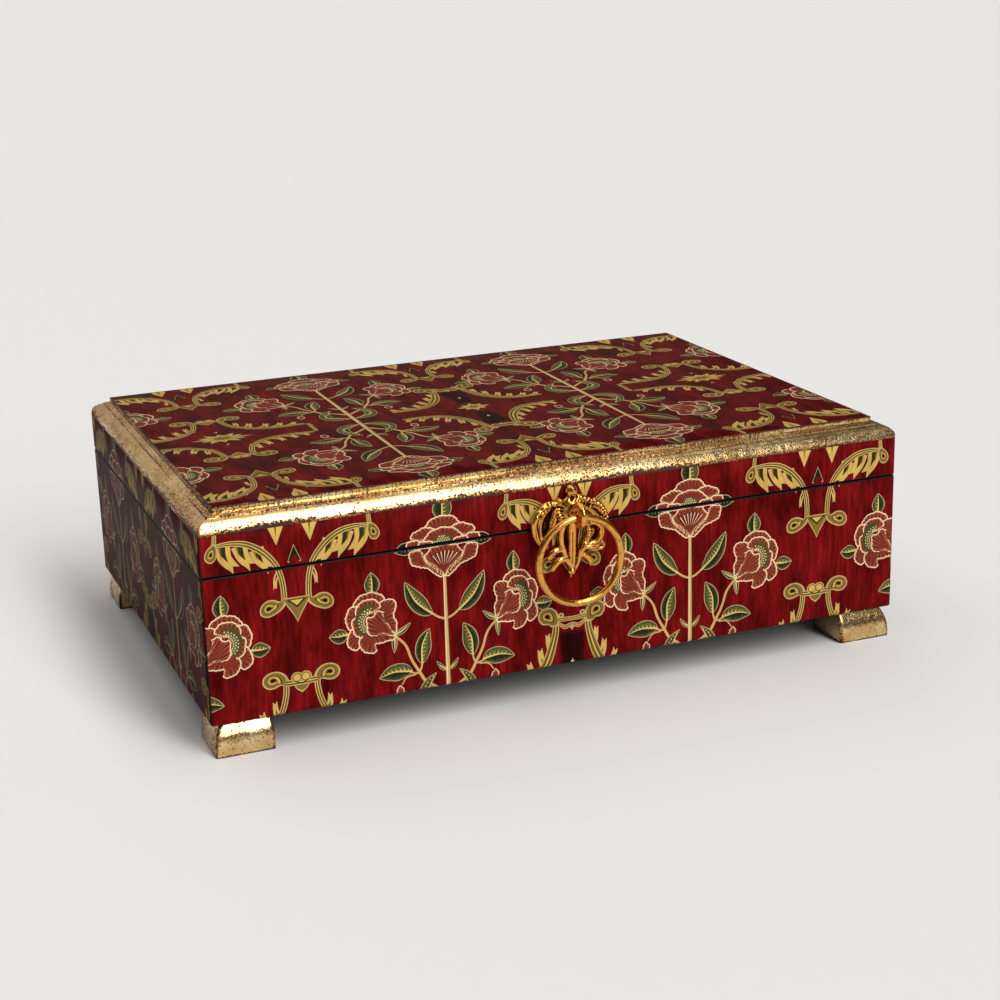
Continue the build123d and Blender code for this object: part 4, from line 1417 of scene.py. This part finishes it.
# %% Remesh the casting
def even_skin(mesh, voxel):
    """A mesh of overlapping forms, in world millimetres, as one even skin: its points and faces."""
    bmesh.ops.scale(mesh, vec=(MM,) * 3, verts=mesh.verts)
    twin = bpy.data.objects.new("remesh_work", bpy.data.meshes.new("remesh_work"))
    mesh.to_mesh(twin.data)
    mesh.free()
    bpy.context.scene.collection.objects.link(twin)
    remesh = twin.modifiers.new("even", "REMESH")
    remesh.mode, remesh.voxel_size = "VOXEL", voxel * MM
    skin = bpy.data.meshes.new_from_object(twin.evaluated_get(bpy.context.evaluated_depsgraph_get()))
    points = np.array([tuple(v.co) for v in skin.vertices]) / MM
    faces = [tuple(p.vertices) for p in skin.polygons]
    bpy.data.objects.remove(twin)
    bpy.data.meshes.remove(skin)
    return points, faces


def skin_edges(faces):
    """The pairs of points that are joined by an edge."""
    pairs = {tuple(sorted(pair)) for face in faces for pair in zip(face, face[1:] + face[:1])}
    return np.array(sorted(pairs))


def relaxed(points, edges, rounds):
    """The points drawn towards the average of their neighbours, several times over."""
    for _ in range(rounds):
        total, count = np.zeros_like(points), np.zeros(len(points))
        for a, b in ((0, 1), (1, 0)):
            np.add.at(total, edges[:, a], points[edges[:, b]])
            np.add.at(count, edges[:, a], 1)
        points = 0.4 * points + 0.6 * total / count[:, None]
    return points


def skin_normals(points, faces):
    """The outward direction at each point, from the faces round it."""
    quads = np.array([face if len(face) == 4 else (*face, face[-1]) for face in faces])
    across = np.cross(points[quads[:, 2]] - points[quads[:, 0]], points[quads[:, 3]] - points[quads[:, 1]])
    total = np.zeros_like(points)
    for corner in range(4):
        np.add.at(total, quads[:, corner], across)
    return total / np.maximum(np.linalg.norm(total, axis=1), 1e-9)[:, None]


cell_size = 0.3
print("the casting is cut into cells of", cell_size, "mm")

# %% [markdown]
# ## Fuller limbs
#
# The construction solid has the casting's main limbs as plain round bars. On the real one they are
# flat and broad like leaves, with balls where they meet. So flat tapering limbs are laid over the
# solid, along lines measured in millimetres from the ring's pivot, and one thin leaf blade lies
# behind the left side.

# %% Fuller limbs
pivot_x, pivot_z = -0.8, 79.1
limb_plane = front_face - 2.2


def flat_limb(mesh, line, widths, thick, plane=limb_plane):
    """Add a flattened, tapering limb along a line drawn in the front plane, from the ring's pivot."""
    path = smooth([complex(x + pivot_x, z + pivot_z) for x, z in line], step=0.6)
    last = len(path) - 1
    rows = []
    for i, spot in enumerate(path):
        taper = sqrt(max(1 - (2 * i / last - 1) ** 8, 0.02))
        across = sideways(heading(path, i)) * between(widths, i / last) / 2 * taper
        row = []
        for a in (tau * k / 14 for k in range(14)):
            place = spot + across * cos(a)
            row.append(mesh.verts.new((place.real, plane - thick / 2 * taper * sin(a), place.imag)))
        rows.append(row)
    join_rows(mesh, rows)
    mesh.faces.new(rows[0])
    mesh.faces.new(rows[-1][::-1])


limbs = [
    ([(-6.6, 4.6), (-11.4, 3.4), (-14.4, -1.6), (-14.3, -7.6), (-12.4, -11.6)], [3.4, 4.6, 4.4, 3.4, 2.6], 3.2),
    ([(-9.4, 2.6), (-11.4, -2.4), (-11.8, -9.6)], [3.6, 6.4, 3.4], 1.3, front_face - 0.9),
    ([(-6.9, 2.6), (-8.6, -2.4), (-9.8, -6.4)], [2.4, 2.6, 1.6], 2.8),
    ([(1.2, 6.4), (4.6, 5.2), (8.2, 3.2)], [3.0, 3.6, 2.8], 3.6),
    ([(7.4, 3.4), (11.2, 1.8), (13.6, -1.4), (14.8, -4.4)], [3.4, 3.8, 3.0, 1.8], 3.2),
    ([(-0.2, -3.5), (-0.2, -10), (-0.5, -18), (-0.7, -23.8)], [4.4, 3.4, 2.5, 3.0], 3.4),
    ([(3.6, -14.2), (7.6, -14), (11.4, -14.4), (13.2, -12.6)], [2.4, 3.4, 3.4, 2.4], 3.2),
    ([(6.6, -5), (8.4, -8.6), (6.2, -12.2), (3.8, -16)], [2.4, 3.0, 3.0, 2.2], 3.2),
    ([(-2.4, -15.4), (-5.6, -14.6), (-9.2, -16.2)], [2.2, 3.2, 2.4], 3.0),
    ([(-1.6, -21.4), (-4.6, -18.6), (-8.4, -22.6)], [2.0, 3.2, 2.2], 3.0),
]
for x, z, size in ((-5.3, 5.0, 3.9), (-5.8, 2.0, 3.5), (-4.6, -1.2, 3.0), (-12.4, -11.9, 4.0), (0, 9.0, 5.1)):
    limbs.append(([(x, z - size / 2), (x, z), (x, z + size / 2)], [size * 0.7, size, size * 0.7], size))
casting = solid_mesh("pull_ornament")
for limb in limbs:
    flat_limb(casting, *limb)
bmesh.ops.recalc_face_normals(casting, faces=casting.faces)
skin, skin_faces = even_skin(casting, cell_size)
edges = skin_edges(skin_faces)
print("casting skin:", len(skin), "points")

# %% [markdown]
# ## Ribs and veins
#
# The casting's strands are ribbed across like rope, and its leaves have long veins. Both are pressed
# into the skin by how far a point lies from a drawn line and how far along it. Only the parts that
# face the front are pressed, as in a mould, and small dents all over keep it from looking turned.

# %% Lines of the ribs and veins
ribbed = {
    "right strand": ([(0.5, 6.6), (3.6, 4.8), (6.0, 4.7), (8.6, 2.6)], 1.25, 1.9),
    "left curl": ([(-5.2, 4.4), (-5.8, 0.6), (-4.8, -2.8), (-7.8, -5.8)], 1.3, 1.8),
    "left leaf rim": ([(-6.4, 4.2), (-11.6, 3.6), (-14.8, -0.4)], 2.3, 1.9),
    "right arm": ([(2.8, -2.6), (7.4, -7.4), (6.6, -12.0)], 1.3, 1.9),
    "right loop": ([(7.6, 3.2), (10.8, 2.6), (13.6, -0.6), (15.4, -4.6)], 1.5, 1.7),
}
veins = [
    [(-7, 3.4), (-12.2, 2.6), (-15.4, -2.4), (-14.4, -9.6)], [(-9.6, 1.8), (-12.6, -1.6), (-13.2, -7.6)],
    [(8.4, 2.3), (12.2, 0.4), (14.6, -3.8)], [(8, -6.6), (11.4, -8.4), (8.8, -12)],
    [(-0.5, -8), (-0.6, -14), (-0.8, -21)], [(-5.6, -15.9), (-8.2, -15.9), (-9.6, -17.6)],
    [(5.8, -16.4), (9.4, -16.6), (12.2, -15.2)],
]


def reach_along(points, line):
    """For each point: its distance from a line drawn in the front plane, and how far along it lies."""
    spots = smooth([complex(x + pivot_x, z + pivot_z) for x, z in line], step=0.4)
    path = np.array([(z.real, z.imag) for z in spots])
    gaps = np.linalg.norm(points[:, None, :] - path[None], axis=2)
    nearest = gaps.argmin(axis=1)
    walked = np.concatenate([[0], np.cumsum(np.linalg.norm(np.diff(path, axis=0), axis=1))])
    return gaps.min(axis=1), walked[nearest]


print("ribbed:", ", ".join(ribbed), "and", len(veins), "veins")

# %% [markdown]
# ## Pressing them in
#
# Each point of the skin moves inwards along its own normal, by the sum of the ribs, the veins and the
# dents there. After that the skin is compared with its smoothed copy: a point that lies below it is
# in a hollow and will hold patina, and one that lies above it is rubbed bright. Close to the board the
# skin also counts as deeper, so it is darker there.

# %% Press them into the skin
rib_depth, vein_depth, vein_width, dent_depth = 0.42, 0.5, 0.36, 0.05
smoothing_rounds, near_board_depth = 26, 0.2
normals = skin_normals(skin, skin_faces)
facing = np.clip(-normals[:, 1] * 1.6 + 0.35, 0, 1)
front_plane = skin[:, (0, 2)]
depth = np.zeros(len(skin))
for line, pitch, width in ribbed.values():
    gap, along = reach_along(front_plane, line)
    depth += np.clip(1 - (gap / width) ** 4, 0, 1) * facing * rib_depth * (0.5 + 0.5 * np.cos(tau * along / pitch))
for line in veins:
    gap, _ = reach_along(front_plane, line)
    depth += vein_depth * facing * np.exp(-((gap / vein_width) ** 2))
fine_dents = np.array([noise.noise(Vector(p) * 0.9) for p in skin])
depth += dent_depth * (fine_dents + 0.5)
pressed = skin - normals * depth[:, None]
recess = ((relaxed(pressed, edges, smoothing_rounds) - pressed) * skin_normals(pressed, skin_faces)).sum(axis=1)
# the skin close to the board counts as deeper, so it is darker there
recess += near_board_depth * np.clip((pressed[:, 1] - front_face + 2.0) / 1.2, 0, 1)
print("deepest recess", round(float(recess.max()), 2), "mm, proudest rib", round(float(recess.min()), 2), "mm")

# %% [markdown]
# ## Antique gold
#
# The plating is metal with a fine grain. The patina is dark and rougher, and it follows the hollows
# that were measured on the skin, with a ragged border where the grain breaks it up. It is thin, so
# the metal still shines through and the metallic value stays at 1.

# %% Antique gold
antique, antique_surface = new_material("antique_gold_on_cast_zinc", Metallic=1.0)
cast_place = add_node(antique, "ShaderNodeTexCoord").outputs["Object"]
recessed = add_node(antique, "ShaderNodeAttribute", {"attribute_name": "recess"}).outputs["Fac"]
grain = add_node(antique, "ShaderNodeTexNoise", Vector=cast_place, Scale=1 / (1.1 * MM), Detail=3.0,
                 Roughness=0.6).outputs[0]
patina_sum = add_node(antique, "ShaderNodeMath", multiply_add, i0=grain, i1=0.5, i2=recessed).outputs[0]
patina = add_node(antique, "ShaderNodeMapRange", Value=patina_sum, From_Min=0.42, From_Max=0.8).outputs[0]
antique_colour = linear("#de9138")
for share, colour in ((grain, "#f0b862"), (patina, "#2c1609")):
    antique_colour = add_node(antique, "ShaderNodeMix", colour_mix, i0=share, i6=antique_colour,
                              i7=linear(colour)).outputs[2]
antique_rough = add_node(antique, "ShaderNodeMapRange", Value=patina, To_Min=0.2, To_Max=0.6).outputs[0]
antique_bump = add_node(antique, "ShaderNodeBump", Height=grain, Strength=0.35, Distance=0.05 * MM).outputs[0]
feed(antique_surface, Base_Color=antique_colour, Roughness=antique_rough, Normal=antique_bump)
print("antique gold has", len(antique.node_tree.nodes), "nodes")

# %% [markdown]
# ## The casting
#
# The pressed skin becomes the casting, and each of its points carries its hollowness, from 0 for the
# proudest rib to 1 for the deepest hollow. A flush point has a little, as patina never wipes off
# whole.

# %% The casting
flush_recess, recess_gain = 0.25, 2.2
mesh = bmesh.new()
recess_layer = mesh.verts.layers.float.new("recess")
cast_verts = []
for point, value in zip(pressed, recess):
    vertex = mesh.verts.new(point)
    vertex[recess_layer] = float(np.clip(flush_recess + value * recess_gain, 0, 1))
    cast_verts.append(vertex)
for face in skin_faces:
    mesh.faces.new([cast_verts[i] for i in face])
finish_piece("pull_ornament_cast", mesh, [antique], "pull_ornament", "lid", 80)

# %% [markdown]
# ## The ring
#
# The loose ring is a closed loop of round wire, bent, soldered and plated like the casting. It is
# swept here point by point, so that it can carry the small dents of its handling, which also hold
# some patina.

# %% The ring
ring_low, ring_high = node_box("pull_ring")
ring_middle = (ring_low + ring_high) / 2
wire = (ring_high.y - ring_low.y) / 2
ring_reach = (ring_high.x - ring_low.x) / 2 - wire
way_steps, wire_steps, deepest_dent = 144, 20, 0.12
mesh = bmesh.new()
recess_layer = mesh.verts.layers.float.new("recess")
rows = []
for a in (tau * i / way_steps for i in range(way_steps)):
    way = Vector((cos(a), 0, sin(a)))
    row = []
    for b in (tau * k / wire_steps for k in range(wire_steps)):
        face = way * cos(b) + Vector((0, -sin(b), 0))
        place = ring_middle + way * ring_reach + face * wire
        dent = 0.06 * max(noise.noise(place * 0.45) + 0.4, 0) + 0.05 * max(noise.noise(place * 1.6), 0)
        vertex = mesh.verts.new(place - face * min(dent, deepest_dent))
        vertex[recess_layer] = 0.1 + dent * 2.5
        row.append(vertex)
    rows.append(row)
join_rows(mesh, rows, round_path=True)
finish_piece("pull_ring_cast", mesh, [antique], "pull_ring", "ring", 80)
print("ring", round(2 * (ring_reach + wire), 1), "mm across, of wire", round(2 * wire, 1), "mm thick")

# %% [markdown]
# ## Hinges, screws and boards
#
# These pieces keep the shapes of their solids, since they are turned, stamped or sawn, and only need
# their finish. Sheet brass for small hinges is rolled, so its grain runs one way; screws are plated
# steel; the bottom board is stained black like the inside of the box.

# %% Brass and steel
def metal(name, colour, rough, grain_across, grain_along):
    """A metal with fine grain along X, whose two grain sizes are in millimetres."""
    material, surface = new_material(name, Metallic=1.0)
    spot = add_node(material, "ShaderNodeTexCoord").outputs["Object"]
    stretched = add_node(material, "ShaderNodeMapping", Vector=spot,
                         Scale=(1 / (grain_along * MM), 1 / (grain_across * MM), 1 / (grain_across * MM)))
    lines = add_node(material, "ShaderNodeTexNoise", Vector=stretched.outputs[0], Scale=1.0, Detail=3.0).outputs[0]
    tone = add_node(material, "ShaderNodeMapRange", Value=lines, From_Min=0.3, From_Max=0.7, To_Min=0.78, To_Max=1.0)
    shade = add_node(material, "ShaderNodeVectorMath", {"operation": "SCALE"}, i0=linear(colour)[:3],
                     Scale=tone.outputs[0])
    uneven = add_node(material, "ShaderNodeMapRange", Value=lines, To_Min=rough - 0.08, To_Max=rough + 0.12)
    feed(surface, Base_Color=shade.outputs[0], Roughness=uneven.outputs[0])
    return material


brass = metal("rolled_brass", "#cfa65c", 0.3, 0.25, 6)
steel = metal("zinc_plated_steel", "#b9bbbd", 0.34, 0.4, 1.2)
print("metals:", brass.name, "and", steel.name)

# %% [markdown]
# ## Finishing the small pieces
#
# The remaining solids take their finish directly. Every hinge leaf, pin and hinge screw is brass, the
# other screws and the washer are steel, and the bottom board is stained.

# %% Finish the small pieces
finishes = {"case_bottom": stained, "foot_screws": steel, "pull_screw": steel, "pull_washer": steel,
            "hinge_screws_case": brass, "hinge_screws_lid": brass}
finishes.update({name: brass for name in nodes if name.startswith("hinge_") and name not in finishes})
for name, material in finishes.items():
    data_slots = nodes[name].material_slots
    if not data_slots:
        nodes[name].data.materials.append(material)
    for data_slot in data_slots:
        data_slot.material = material
print("pieces with their own solid:", ", ".join(sorted(finishes)))

# %% [markdown]
# ## The felt lining
#
# A thin sheet of felt is glued to the floor of such a box. It was cut a little smaller than the
# floor, so it lies flat with a soft edge. Felt is a mat of short fibres: it has no weave, a soft
# sheen at low angles, and a slightly uneven thickness.

# %% Wool felt
felt, felt_surface = new_material("wool_felt", Roughness=0.95, Sheen_Weight=0.35, Specular_IOR_Level=0.1)
fibre_place = add_node(felt, "ShaderNodeTexCoord").outputs["Object"]
fibres = add_node(felt, "ShaderNodeTexNoise", Vector=fibre_place, Scale=1 / (0.7 * MM), Detail=5.0,
                  Roughness=0.75).outputs[0]
felt_share = add_node(felt, "ShaderNodeMapRange", Value=fibres, From_Min=0.3, From_Max=0.7).outputs[0]
felt_tone = add_node(felt, "ShaderNodeMix", colour_mix, i0=felt_share, i6=linear("#2a0a0f"), i7=linear("#5a1a24"))
felt_bump = add_node(felt, "ShaderNodeBump", Height=fibres, Strength=0.6, Distance=0.25 * MM)
feed(felt_surface, Base_Color=felt_tone.outputs[2], Normal=felt_bump.outputs[0])
print("felt has", len(felt.node_tree.nodes), "nodes")

# %% [markdown]
# ## Laying the felt
#
# The sheet is a fine grid, so that its top can wave a little and thin out towards its cut edge, as
# felt does where scissors press it. A row of faces closes it down to the board.

# %% Lay the felt
felt_low, felt_high = node_box("floor_lining")
long_steps, deep_steps = 96, 64
felt_slack, felt_wave, edge_drop, edge_width = 0.12, 0.1, 0.35, 1.2
mesh = bmesh.new()
rows = []
for i in range(long_steps + 1):
    row = []
    for k in range(deep_steps + 1):
        x = felt_low.x + (felt_high.x - felt_low.x) * i / long_steps
        y = felt_low.y + (felt_high.y - felt_low.y) * k / deep_steps
        edge = min(x - felt_low.x, felt_high.x - x, y - felt_low.y, felt_high.y - y)
        top = felt_high.z - felt_slack - felt_wave * noise.noise(Vector((x, y, 0)) * 0.05)
        top -= edge_drop * exp(-edge / edge_width)
        row.append(mesh.verts.new((x, y, min(top, felt_high.z))))
    rows.append(row)
join_rows(mesh, rows, round_section=False)
edge_loop = [row[0] for row in rows] + rows[-1][1:] + [row[-1] for row in rows[-2::-1]] + rows[0][-2:0:-1]
foot_loop = [mesh.verts.new((v.co.x, v.co.y, felt_low.z)) for v in edge_loop]
join_rows(mesh, [edge_loop, foot_loop])
lining = finish_piece("floor_lining_felt", mesh, [felt], "floor_lining", "case")
print("felt lies from", round(felt_low.z, 1), "to", round(felt_high.z, 1), "mm above the table")
